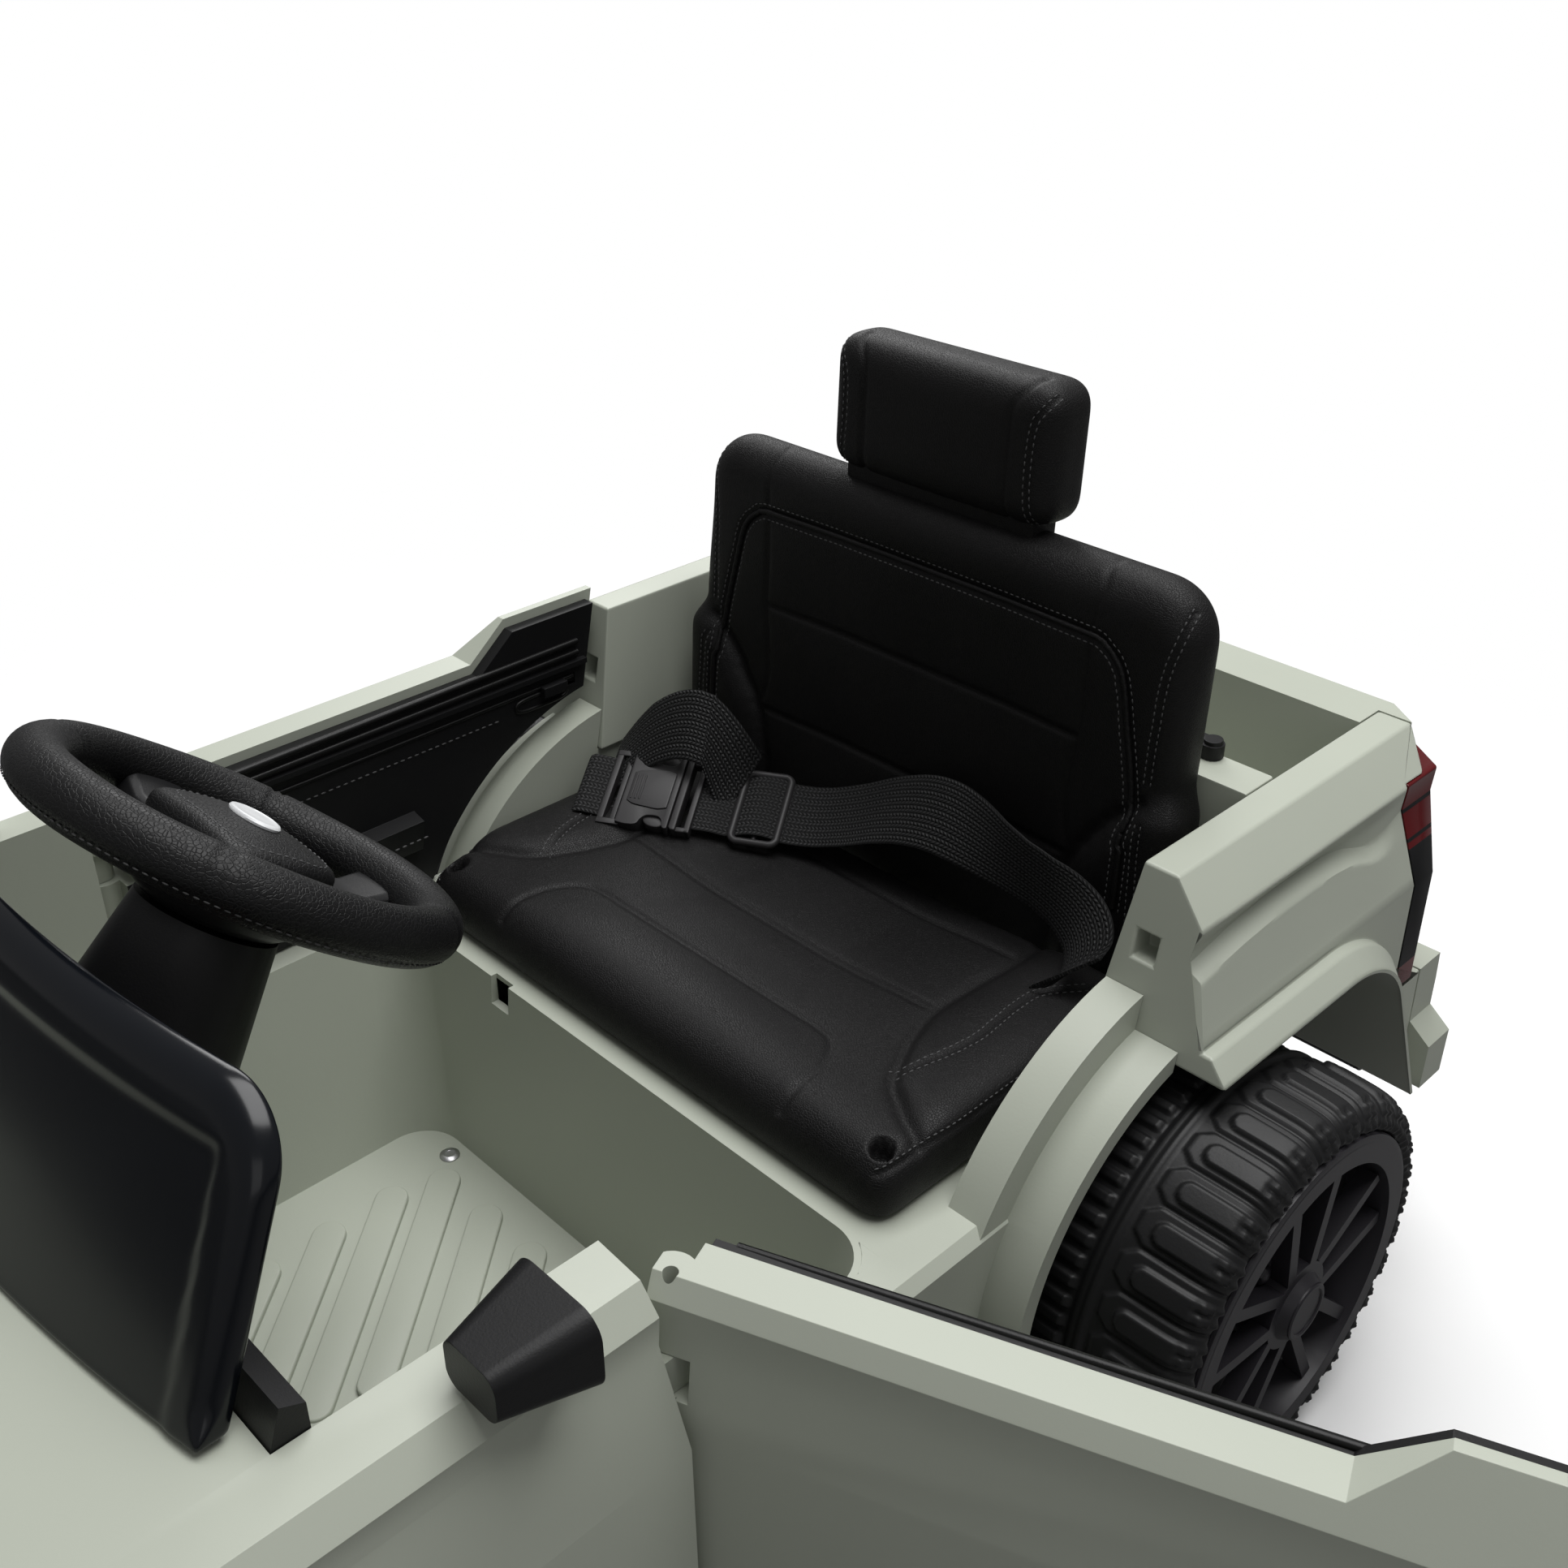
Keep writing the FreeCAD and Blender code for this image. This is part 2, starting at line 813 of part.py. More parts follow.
def make_bed_tray():
    low = bed_floor_z - bed_wall
    front_low = back_y(low, back_depth) + seat_gap
    profile = [
        (front_low, low),
        (back_y(rail_top_z, back_depth) + seat_gap, rail_top_z),
        (bed_front_y, rail_top_z),
        (bed_front_y, bed_floor_z),
        (bed_rear_y, bed_floor_z),
        (bed_rear_y, low),
    ]
    tray = prism_x(profile, -rail_inner_x, rail_inner_x).common(bed_slice(front_low, bed_rear_y, low))
    hole = rod(vec(latch_x, latch_y, rail_top_z - latch_screw_depth),
               vec(latch_x, latch_y, rail_top_z + overrun),
               latch_screw_radius + run_gap)
    return tray.cut(hole)


def grille_room(gap, front_y):
    return block(-grille_half + gap, grille_half - gap, front_y, nose_y + grille_depth - gap,
                 grille_low_z + gap, grille_high_z - gap)


def head_lamp_room(gap):
    return block(head_lamp_inner_x + gap, head_lamp_outer_x - gap, front_end_y - overrun,
                 nose_y + head_lamp_depth - gap, head_lamp_low_z + gap, head_lamp_high_z - gap)


def front_shell():
    section = full_section(side_foot_z, [
        (cowl_x, cowl_z),
        (hood_edge_x, hood_z - hood_edge_drop),
        (0, hood_z),
    ])
    outline = [
        (jamb_y, side_foot_z),
        (jamb_y, hood_z),
        (shield_base_y - shield_bow - overrun, hood_z),
        (hood_front_y, hood_front_z),
        (nose_y, nose_z),
        (front_end_y, grille_low_z),
        (nose_y, side_foot_z),
    ]
    return prism_y(section, front_end_y, jamb_y).common(prism_x(outline, -flare_x, flare_x))


def front_hollow():
    # the room inside the front body, left open underneath
    side = [(x - body_wall, z) for x, z in body_side(-overrun)]
    right = side + [
        (cowl_x - body_wall, cowl_z - body_wall),
        (hood_edge_x, hood_z - hood_edge_drop - body_wall),
        (0, hood_z - body_wall),
    ]
    section = right + [(-x, z) for x, z in right[::-1] if x > 0]
    outline = [
        (jamb_y - body_wall, -overrun),
        (jamb_y - body_wall, hood_z),
        (shield_base_y - shield_bow - overrun, hood_z - body_wall),
        (hood_front_y + body_wall, hood_front_z - body_wall),
        (front_bay_front_y, nose_z),
        (front_bay_front_y, -overrun),
    ]
    hollow = prism_y(section, front_bay_front_y, jamb_y).common(prism_x(outline, -flare_x, flare_x))
    half = cabin_half + body_wall
    hollow = hollow.cut(block(-half, half, cowl_rear_y - body_wall, jamb_y, -overrun * 2, hood_z))
    liner = front_arch(body_wall, front_bay_half - body_wall, flare_x)
    return hollow.cut(liner).cut(mirrored(liner))


def hinge_levels():
    return hinge_low_z, hinge_high_z


def make_front_body():
    shell = front_shell().cut(front_hollow())
    flare = bevelled(front_arch(flare_width, recess_x, flare_x))
    flare = flare.common(block(recess_x, flare_x, nose_y, jamb_y, side_foot_z, rail_top_z))
    opening = front_arch(0, front_bay_half, flare_x + overrun)
    body = joined([shell, flare, mirrored(flare)]).cut(opening).cut(mirrored(opening))
    tub_front = firewall_y - wall - seat_gap
    body = body.cut(block(-cabin_half, cabin_half, tub_front, jamb_y + overrun, -overrun,
                          firewall_z + seat_gap))
    body = body.cut(block(-cabin_half, cabin_half, cowl_rear_y, jamb_y + overrun, firewall_z,
                          hood_z + overrun))
    lamps = head_lamp_room(0)
    body = body.cut(lamps).cut(mirrored(lamps)).cut(grille_room(0, front_end_y - overrun))
    lugs = []
    for low in hinge_levels():
        foot = vec(hinge_x, hinge_y, low)
        head = vec(hinge_x, hinge_y, low + hinge_lug_height)
        arm = block(hinge_x - hinge_barrel_radius, hinge_x + hinge_barrel_radius, jamb_y - wall, hinge_y,
                    low, low + hinge_lug_height)
        lug = rod(foot, head, hinge_barrel_radius).fuse(arm)
        lugs.append(lug.cut(rod(foot, head, hinge_pin_radius + run_gap)))
    body = joined([body] + lugs + [mirrored(lug) for lug in lugs])
    shaft_hole = rod(steer_centre, steer_centre - steer_axis * wheel_base, shaft_radius + swing_gap)
    arm_half = carrier_half + swing_gap
    arm_room = block(-kingpin_x, kingpin_x, front_axle_y - arm_half, front_axle_y + arm_half, 0,
                     sleeve_high_z + seat_gap + carrier_arm + swing_gap)
    return body.cut(shaft_hole).cut(arm_room)


def make_grille():
    front_y = front_end_y - wall
    frame = grille_room(seat_gap, front_y)
    inner_half = grille_half - grille_frame
    low = grille_low_z + grille_frame
    high = grille_high_z - grille_frame
    frame = frame.cut(block(-inner_half, inner_half, front_y - overrun, nose_y + grille_depth - wall, low,
                            high))
    pitch = (high - low) / grille_bars
    bars = []
    for index in range(grille_bars):
        centre = low + pitch * (index + 1 / 2)
        bar = [
            (nose_y + grille_depth - wall - run_gap, centre - grille_bar_height / 2),
            (nose_y + grille_depth - wall - run_gap, centre + grille_bar_height / 2),
            (front_y + wall, centre + grille_bar_height / 4),
            (front_y + wall, centre - grille_bar_height / 4),
        ]
        bars.append(prism_x(bar, -inner_half - wall, inner_half + wall))
    return joined([frame] + bars)


def make_head_lamp():
    return front_shell().common(head_lamp_room(seat_gap))


def make_front_bumper():
    bar = block(-front_bumper_half, front_bumper_half, nose_y - overrun, nose_y + front_bumper_depth,
                front_bumper_low_z, front_bumper_high_z)
    bar = rounded(bar, axis_z, front_bumper_corner, lambda middle: middle.y < nose_y)
    bar = rounded(bar, axis_x, wall)
    return bar.cut(front_shell())


def make_windshield():
    def curve(half, y, z):
        outer = Part.Arc(vec(-half, y, z), vec(0, y - shield_bow, z), vec(half, y, z))
        back = y + shield_thickness
        inner = Part.Arc(vec(half, back, z), vec(0, back - shield_bow, z), vec(-half, back, z))
        return Part.Wire([
            outer.toShape(),
            Part.LineSegment(vec(half, y, z), vec(half, back, z)).toShape(),
            inner.toShape(),
            Part.LineSegment(vec(-half, back, z), vec(-half, y, z)).toShape(),
        ])

    glass = Part.makeLoft([
        curve(shield_base_half, shield_base_y, hood_z + seat_gap),
        curve(shield_top_half, shield_top_y, shield_top_z),
    ], True, True)
    outline = prism_y([
        (-shield_base_half, hood_z),
        (shield_base_half, hood_z),
        (shield_top_half, shield_top_z),
        (-shield_top_half, shield_top_z),
    ], shield_base_y - shield_bow * 2, shield_top_y + shield_thickness * 2)
    outline = rounded(outline, axis_y, shield_corner, lambda middle: middle.z > shield_top_z - wall)
    return glass.common(outline)


def dash_end_profile():
    # the ends are shallower than the middle and follow the windshield
    return [
        (cowl_rear_y + seat_gap, dash_belly_z),
        (cowl_rear_y + seat_gap, dash_front_z),
        (dash_end_y - dash_edge, dash_end_z),
        (dash_end_y, dash_end_z - dash_edge / 2),
        (dash_end_y, dash_low_z),
        (dash_end_y - dash_edge, dash_belly_z),
    ]


def dash_profile():
    return [
        (cowl_rear_y + seat_gap, dash_belly_z),
        (cowl_rear_y + seat_gap, dash_front_z),
        (dash_brow_y, dash_top_z - wall),
        (dash_rear_y - dash_edge, dash_top_z),
        (dash_rear_y, dash_top_z - dash_edge),
        (dash_rear_y, dash_lip_z),
        (dash_rear_y - dash_edge, dash_low_z),
        ((cowl_rear_y + dash_rear_y) / 2, dash_belly_z),
    ]


def switch_y():
    return (dash_brow_y + dash_rear_y - dash_edge) / 2


def make_dashboard():
    half = cabin_half - seat_gap
    dash = prism_x(dash_end_profile(), -half, half)
    dash = joined([dash, prism_x(dash_profile(), -dash_core_half, dash_core_half)])
    top = steer_centre - steer_axis * shroud_top_drop
    shroud = Part.makeCone(shroud_top_radius, shroud_foot_radius, shroud_length, top, -steer_axis)
    dash = joined([dash, shroud])
    dash = dash.cut(rod(steer_centre, steer_centre - steer_axis * wheel_base, shaft_radius + run_gap))
    y = switch_y()
    button = rod(vec(button_x, y, dash_top_z - button_height - button_proud),
                 vec(button_x, y, dash_top_z + overrun),
                 button_radius + seat_gap)
    pocket = block(rocker_x - rocker_half_x - seat_gap, rocker_x + rocker_half_x + seat_gap,
                   y - rocker_half_y - swing_gap, y + rocker_half_y + swing_gap,
                   dash_top_z - rocker_height - swing_gap, dash_top_z + overrun)
    pin = rocker_pin(run_gap)
    return dash.cut(button).cut(pocket).cut(pin)


def rocker_pin(gap):
    level = dash_top_z - rocker_height / 2
    reach = rocker_half_x + wall + gap
    return rod(vec(rocker_x - reach, switch_y(), level), vec(rocker_x + reach, switch_y(), level),
               rocker_pin_radius + gap)


def make_power_button():
    y = switch_y()
    high = dash_top_z + button_proud
    cap = rod(vec(button_x, y, high - button_height), vec(button_x, y, high), button_radius)
    return cap.makeChamfer(wall / 3, [edge for edge in cap.Edges if edge.CenterOfMass.z > dash_top_z])


def make_rocker():
    y = switch_y()
    level = dash_top_z - rocker_height / 2
    profile = [
        (y - rocker_half_y, level),
        (y - rocker_half_y, dash_top_z + rocker_proud),
        (y, dash_top_z + rocker_proud / 2),
        (y + rocker_half_y, dash_top_z + rocker_proud),
        (y + rocker_half_y, level),
        (y, level - rocker_height / 3),
    ]
    return joined([prism_x(profile, rocker_x - rocker_half_x, rocker_x + rocker_half_x), rocker_pin(0)])


def make_mirror():
    rear = rounded_loop(mirror_half_x, mirror_z - mirror_half_z, mirror_z + mirror_half_z, mirror_corner,
                        mirror_y + mirror_depth / 2, True)
    small = mirror_half_z * mirror_taper_share
    front = rounded_loop(mirror_half_x * mirror_taper_share, mirror_z - small, mirror_z + small,
                         mirror_corner * mirror_taper_share, mirror_y - mirror_depth / 2, True)
    shell = moved(Part.makeLoft([front, rear], True, True), vec(mirror_x, 0, 0))
    foot = rod(vec(cowl_x - mirror_foot_radius * 2, mirror_y, cowl_z - overrun),
               vec(mirror_x, mirror_y, mirror_z),
               mirror_foot_radius)
    housing = joined([shell, foot]).cut(front_shell())
    return housing.cut(mirror_glass(0))


def mirror_glass(gap):
    half_x = mirror_half_x - mirror_glass_inset - gap
    half_z = mirror_half_z - mirror_glass_inset - gap
    rear = mirror_y + mirror_depth / 2
    loops = []
    for y in (rear - mirror_glass_thick + gap, rear):
        loops.append(rounded_loop(half_x, mirror_z - half_z, mirror_z + half_z, mirror_corner / 2, y, True))
    return moved(Part.makeLoft(loops, True, True), vec(mirror_x, 0, 0))


def pillow(half, low, high, corner, levels, upright):
    # a padded form lofted through loops; each level gives its place and how far its edge draws in
    loops = []
    for place, inset in levels:
        loops.append(rounded_loop(half - inset, low + inset, high - inset, corner, place, upright))
    return Part.makeLoft(loops, True, True)


def make_cushion():
    foot = deck_z + seat_gap
    pad = pillow(seat_half, seat_front_y, seat_rear_y, seat_corner, (
        (foot, seat_draw),
        (seat_edge_z, 0),
        (seat_crown_z - channel_depth * 2, seat_draw),
        (seat_crown_z, seat_crown_inset),
    ), False)
    for y in channel_ys:
        groove = block(-channel_half, channel_half, y - channel_width / 2, y + channel_width / 2,
                       seat_crown_z - channel_depth, seat_crown_z + overrun)
        pad = pad.cut(groove)
    for side in (-1, 1):
        centre = vec(side * seat_hole_x, seat_hole_y, deck_z)
        pad = pad.cut(rod(centre, centre + axis_z * (seat_crown_z - deck_z + overrun), seat_hole_radius))
    return pad


def leaned(shape, level):
    # from upright at Y = 0 to the lean of the backrest, with the foot at the given height
    copy = turned(shape, origin, axis_x, -back_lean)
    return moved(copy, vec(0, back_plane_y + (level - back_plane_z) * math.tan(lean), level))


def back_foot_z():
    return deck_z + seat_gap + back_depth * math.sin(lean)


def make_backrest():
    levels = [(back_depth * place, back_round * inset) for place, inset in back_level_shares]
    pad = pillow(back_half, 0, back_height, back_corner, levels, True)
    for share in back_channel_shares:
        level = back_height * share
        pad = pad.cut(block(-channel_half, channel_half, -overrun, channel_depth,
                            level - channel_width / 2, level + channel_width / 2))
    return leaned(pad, back_foot_z())


def make_headrest():
    low = back_height + seat_gap
    levels = [(head_set_back + head_depth * place, head_round * inset)
              for place, inset in head_level_shares]
    pad = pillow(head_half, low, low + head_height, head_corner, levels, True)
    return leaned(pad, back_foot_z())


def ribbon(path, width):
    # webbing of even thickness along a path of (along, height) points
    upper = []
    lower = []
    for index, (u, h) in enumerate(path):
        before = path[max(index - 1, 0)]
        after = path[min(index + 1, len(path) - 1)]
        run = math.hypot(after[0] - before[0], after[1] - before[1])
        across = (-(after[1] - before[1]) / run, (after[0] - before[0]) / run)
        upper.append((u + across[0] * belt_thick / 2, h + across[1] * belt_thick / 2))
        lower.append((u - across[0] * belt_thick / 2, h - across[1] * belt_thick / 2))
    return prism_y(upper + lower[::-1], -width / 2, width / 2)


def belt_level():
    return seat_crown_z + belt_lift


def on_belt(shape, offset):
    # from the buckle's own axes to its place across the cushion
    placed = turned(moved(shape, vec(offset, 0, 0)), origin, axis_z, belt_angle)
    return moved(placed, vec(buckle_x, buckle_y, belt_level()))


def make_buckle_socket():
    half = buckle_width / 2
    shell = rounded_block(-buckle_length / 2, buckle_length / 2 - plug_length, -half, half,
                          -belt_lift + seat_gap, buckle_height - belt_lift, axis_z, wall)
    slot = block(-buckle_length / 2 + wall, -buckle_length / 2 + wall * 3, -belt_width / 2 - seat_gap,
                 belt_width / 2 + seat_gap, -buckle_height, buckle_height)
    return on_belt(shell.cut(slot), 0)


def make_buckle_plug():
    half = belt_width / 2 + wall
    start = buckle_length / 2 - plug_length + seat_gap
    shell = rounded_block(start, start + plug_length, -half, half,
                          -belt_lift + seat_gap, buckle_height - belt_lift - wall / 3, axis_z, wall)
    slot = block(start + plug_length - wall * 3, start + plug_length - wall, -belt_width / 2 - seat_gap,
                 belt_width / 2 + seat_gap, -buckle_height, buckle_height)
    return on_belt(shell.cut(slot), 0)


def make_tri_glide():
    half = glide_width / 2
    ring = rounded_block(-glide_length / 2, glide_length / 2, -half, half, -glide_height / 2,
                         glide_height / 2,
                         axis_z, wall)
    room = glide_length / 2 - glide_bar
    ring = ring.cut(block(-room, room, -half + glide_bar, half - glide_bar, -glide_height, glide_height))
    bar = block(-glide_bar / 2, glide_bar / 2, -half + run_gap, half - run_gap, -glide_height / 2, 0)
    return on_belt(joined([ring, bar]), glide_offset)


def belt_turn():
    # where the strap leaves the buckle's line and runs straight across the seat
    along = (strap_turn_x - buckle_x) / math.cos(math.radians(belt_angle))
    return along


def make_near_strap():
    start = buckle_length / 2 + seat_gap * 2
    outer = glide_length / 2
    inner = outer - glide_bar
    under = -glide_height / 2 - belt_thick / 2 - seat_gap * 2
    over = belt_thick / 2 + seat_gap * 2
    weave = [
        (start, 0),
        (glide_offset - outer - glide_bar, 0),
        (glide_offset - outer, under),
        (glide_offset - inner - seat_gap, under),
        (glide_offset - glide_bar / 2 - seat_gap, over),
        (glide_offset + glide_bar / 2 + seat_gap, over),
        (glide_offset + inner + seat_gap, under),
        (glide_offset + outer, under),
        (glide_offset + outer + glide_bar, 0),
        (belt_turn(), 0),
    ]
    first = on_belt(ribbon(weave, belt_width - seat_gap * 2), 0)
    turn_y = buckle_y + belt_turn() * math.sin(math.radians(belt_angle))
    rest = belt_level()
    before, crest, after = [rest + strap_hump_z * share for share in hump_shares]
    path = [
        (strap_turn_x - strap_step / 4, rest),
        (strap_turn_x + strap_step, rest),
        (strap_hump_x - strap_step, before),
        (strap_hump_x, crest),
        (strap_hump_x + strap_step * 2, after),
        (strap_end_x - strap_step, rest - wall / 2),
        (strap_end_x, rest - wall),
    ]
    second = moved(ribbon(path, belt_width), vec(0, (turn_y + strap_y) / 2, 0))
    return joined([first, second])


def make_far_strap():
    start = -buckle_length / 2 - seat_gap
    path = [
        (start, 0),
        (start - strap_step / 3, belt_thick),
        (start - strap_step / 2, far_strap_rise / 2),
        (start - strap_step / 3, far_strap_rise),
        (start + strap_step, far_strap_rise),
    ]
    return on_belt(ribbon(path, belt_width), 0)


def make_seat_latch():
    low = rail_top_z + seat_gap
    half = latch_width / 2
    bar = rounded_block(latch_x - latch_length, latch_x + half, latch_y - half, latch_y + half,
                        low, low + latch_height, axis_z, half - run_gap)
    head = rod(vec(latch_x, latch_y, low), vec(latch_x, latch_y, low + latch_height + latch_head_height),
               latch_head_radius)
    peg = rod(vec(latch_x, latch_y, rail_top_z - latch_screw_depth + seat_gap),
              vec(latch_x, latch_y, low + wall),
              latch_screw_radius)
    return joined([bar, head, peg])


def door_outline(inset):
    gap = swing_gap + seat_gap + inset
    return prism_x([
        (door_front_y + inset, door_low_z + inset),
        (door_front_y + inset, door_top_z - inset),
        (door_step_y, door_top_z - inset),
        (door_step_rear_y, door_rear_top_z - inset),
        (pillar_y(door_rear_top_z) - gap, door_rear_top_z - inset),
        (pillar_y(door_low_z) - gap, door_low_z + inset),
    ], 0, flare_x).cut(rod(vec(0, rear_axle_y, axle_z), vec(flare_x, rear_axle_y, axle_z),
                           door_arch_radius + inset))


def clear_hinge(piece):
    # the front edge is round about the hinge, with notches for the body's lugs
    low = door_low_z - overrun
    high = door_rear_top_z + overrun
    front = block(0, flare_x + overrun, door_front_y - overrun, hinge_y + hinge_edge_radius / 2, low, high)
    barrel = rod(vec(hinge_x, hinge_y, low), vec(hinge_x, hinge_y, high), hinge_edge_radius)
    piece = piece.cut(front.cut(barrel))
    for level in hinge_levels():
        piece = piece.cut(block(0, flare_x + overrun, door_front_y - overrun, hinge_y + hinge_edge_radius,
                                level - seat_gap, level + hinge_lug_height + seat_gap))
    return piece.cut(rod(vec(hinge_x, hinge_y, low), vec(hinge_x, hinge_y, high),
                         hinge_pin_radius + run_gap))


def sill_room():
    # the closed door stands outside the sill and above it
    return block(0, sill_outer_x + swing_gap, door_front_y - overrun, rear_axle_y, 0, sill_z + swing_gap)


def make_door_skin():
    side = [(min(x, door_skin_x), z) for x, z in body_side(door_low_z)]
    section = [(door_split_x, door_low_z)] + side + [
        (rail_outer_x, door_rear_top_z),
        (door_split_x, door_rear_top_z),
    ]
    skin = prism_y(section, door_front_y - overrun, rear_axle_y).common(door_outline(0))
    return clear_hinge(skin).cut(sill_room())


def bolt_room(gap):
    rear = pillar_y(latch_hole_z) - swing_gap - panel_inset
    low_x = door_inner_x + bolt_inset - gap
    half = bolt_height / 2 + gap
    bar = block(low_x, low_x + bolt_width + gap * 2, rear - bolt_length - gap, rear + overrun * (gap > 0),
                latch_hole_z - half, latch_hole_z + half)
    knob_gap = gap * (1 + bolt_travel / seat_gap)
    knob = block(door_inner_x - bolt_knob_depth, low_x + wall, rear - bolt_length + wall - gap,
                 rear - bolt_length + wall + bolt_knob_length + knob_gap,
                 latch_hole_z - half + wall / 2, latch_hole_z + half - wall / 2)
    return bar.fuse(knob).removeSplitter()


def make_door_panel():
    high_x = door_split_x - seat_gap
    panel = door_outline(panel_inset).common(block(door_inner_x, high_x, door_front_y, rear_axle_y,
                                                   door_low_z, door_rear_top_z))
    rest = [
        (door_inner_x + wall, armrest_low_z),
        (door_inner_x - armrest_depth / 2, armrest_low_z + wall),
        (door_inner_x - armrest_depth, armrest_high_z),
        (door_inner_x + wall, armrest_high_z + wall),
    ]
    arm = prism_y(rest, armrest_front_y, armrest_rear_y)
    rail = block(door_inner_x - wall, high_x, armrest_front_y,
                 pillar_y(door_top_z) - swing_gap - panel_inset * 2,
                 door_top_z - wall * 6, door_top_z - wall * 5)
    return clear_hinge(joined([panel, arm, rail])).cut(bolt_room(seat_gap)).cut(sill_room())


def make_door_bolt():
    return bolt_room(0)


def make_hinge_pins():
    pins = []
    for x in (hinge_x, -hinge_x):
        low = hinge_low_z - wall
        high = hinge_high_z + hinge_lug_height + hinge_barrel_height
        pins.append(rod(vec(x, hinge_y, low), vec(x, hinge_y, high), hinge_pin_radius))
    return Part.makeCompound(pins)


def on_column(shape):
    # from Z up at the origin to the steering axis, with the wheel's centre at the origin
    copy = turned(shape, origin, axis_x, -(full_turn / 4 - steer_tilt))
    return moved(copy, steer_centre)


def make_steering_wheel():
    ring = Part.makeTorus(steer_ring_radius, steer_tube_radius)
    hub_top = -steer_drop + steer_spoke_depth / 2
    hub = rod(vec(0, 0, hub_top - steer_hub_depth), vec(0, 0, hub_top), steer_hub_radius)
    spokes = []
    for angle in (0, full_turn / 2, full_turn * 3 / 4):
        bar = prism_x([
            (-steer_spoke_width / 2, hub_top - steer_spoke_depth),
            (steer_spoke_width / 2, hub_top - steer_spoke_depth),
            (steer_spoke_width / 3, hub_top),
            (-steer_spoke_width / 3, hub_top),
        ], 0, steer_ring_radius)
        spokes.append(turned(bar, origin, axis_z, angle))
    wheel = joined([ring, hub] + spokes)
    wheel = wheel.cut(rod(vec(0, 0, -steer_hub_depth * 2), vec(0, 0, 0), shaft_radius + run_gap))
    for side in (-1, 1):
        wheel = wheel.cut(switch_room(side, seat_gap, switch_travel))
    return on_column(wheel)


def switch_room(side, gap, travel):
    top = -steer_drop + steer_spoke_depth / 2
    half_x = switch_width / 2 + gap
    half_y = switch_height / 2 + gap
    if half_y > steer_spoke_width / 3 - wall / 2:
        half_y = steer_spoke_width / 3 - wall / 2 + gap
    return block(side * switch_offset - half_x, side * switch_offset + half_x, -half_y, half_y,
                 top - wall - travel - gap, top + switch_rise)


def make_wheel_switch(side):
    return on_column(switch_room(side, 0, 0))


def make_horn_pad():
    low = -steer_drop + steer_spoke_depth / 2 + pad_travel + seat_gap
    loops = [
        rounded_loop(pad_half_width, -pad_half_height, pad_half_height, pad_corner, low),
        rounded_loop(pad_half_width, -pad_half_height, pad_half_height, pad_corner,
                     low + pad_thickness / 2),
        rounded_loop(pad_half_width - wall, -pad_half_height + wall, pad_half_height - wall,
                     pad_corner - wall,
                     low + pad_thickness),
    ]
    pad = Part.makeLoft(loops, True, True)
    stem = rod(vec(0, 0, low - steer_hub_depth / 3), vec(0, 0, low + pad_thickness / 2), shaft_radius)
    return on_column(joined([pad, stem]))


def make_shaft():
    top = steer_centre - steer_axis * (steer_drop + steer_hub_depth / 2)
    reach = (steer_z - shaft_foot_z) / math.sin(tilt)
    foot = steer_centre - steer_axis * reach
    elbow = foot + steer_down * crank_length
    tip = elbow - steer_axis * crank_pin_length
    arm = rod(foot, elbow, crank_pin_radius + wall / 4)
    pin = rod(elbow + steer_axis * crank_pin_radius, tip, crank_pin_radius)
    return joined([rod(foot - steer_axis * crank_pin_radius, top, shaft_radius), arm, pin])


def kingpin_foot(z):
    return vec(kingpin_x, front_axle_y, z)


def make_kingpins():
    low = sleeve_low_z - carrier_arm
    high = sleeve_high_z + carrier_arm
    pin = rod(kingpin_foot(low), kingpin_foot(high), kingpin_radius)
    return Part.makeCompound([pin, mirrored(pin)])


def link_y():
    return front_axle_y + steer_arm_length


def make_knuckle():
    sleeve = rod(kingpin_foot(sleeve_low_z), kingpin_foot(sleeve_high_z), sleeve_radius)
    stub = rod(kingpin_foot(axle_z), vec(tyre_outer_x - axle_reach + hub_radius, front_axle_y, axle_z),
               axle_radius)
    arm = block(kingpin_x - steer_arm_width / 2, kingpin_x + steer_arm_width / 2, front_axle_y, link_y(),
                sleeve_low_z, sleeve_low_z + steer_arm_thick)
    end = rod(vec(kingpin_x, link_y(), sleeve_low_z),
              vec(kingpin_x, link_y(), sleeve_low_z + steer_arm_thick),
              steer_arm_width / 2)
    pin = rod(vec(kingpin_x, link_y(), sleeve_low_z - link_pin_length),
              vec(kingpin_x, link_y(), sleeve_low_z),
              link_pin_radius)
    knuckle = joined([sleeve, stub, arm, end, pin])
    return knuckle.cut(rod(kingpin_foot(0), kingpin_foot(sleeve_high_z + overrun),
                           kingpin_radius + run_gap))


def make_tie_rod():
    high = sleeve_low_z - seat_gap
    level = high - link_pin_length / 2
    bar = rod(vec(-kingpin_x, link_y(), level), vec(kingpin_x, link_y(), level), link_radius - seat_gap)
    eyes = []
    for x in (-kingpin_x, kingpin_x):
        eyes.append(rod(vec(x, link_y(), high - link_pin_length), vec(x, link_y(), high), link_eye_radius))
    prongs = []
    for x in (fork_gap, -fork_gap - fork_wall):
        prongs.append(block(x, x + fork_wall, fork_front_y, fork_rear_y, high - link_pin_length,
                            fork_high_z))
    link = joined([bar] + eyes + prongs)
    for x in (-kingpin_x, kingpin_x):
        link = link.cut(rod(vec(x, link_y(), 0), vec(x, link_y(), axle_z), link_pin_radius + link_eye_gap))
    return link


def about_wheel(profile):
    # a ring about the X axis from (along, radius) points
    return face_of([vec(x, 0, r) for x, r in profile]).revolve(origin, axis_x, full_turn)


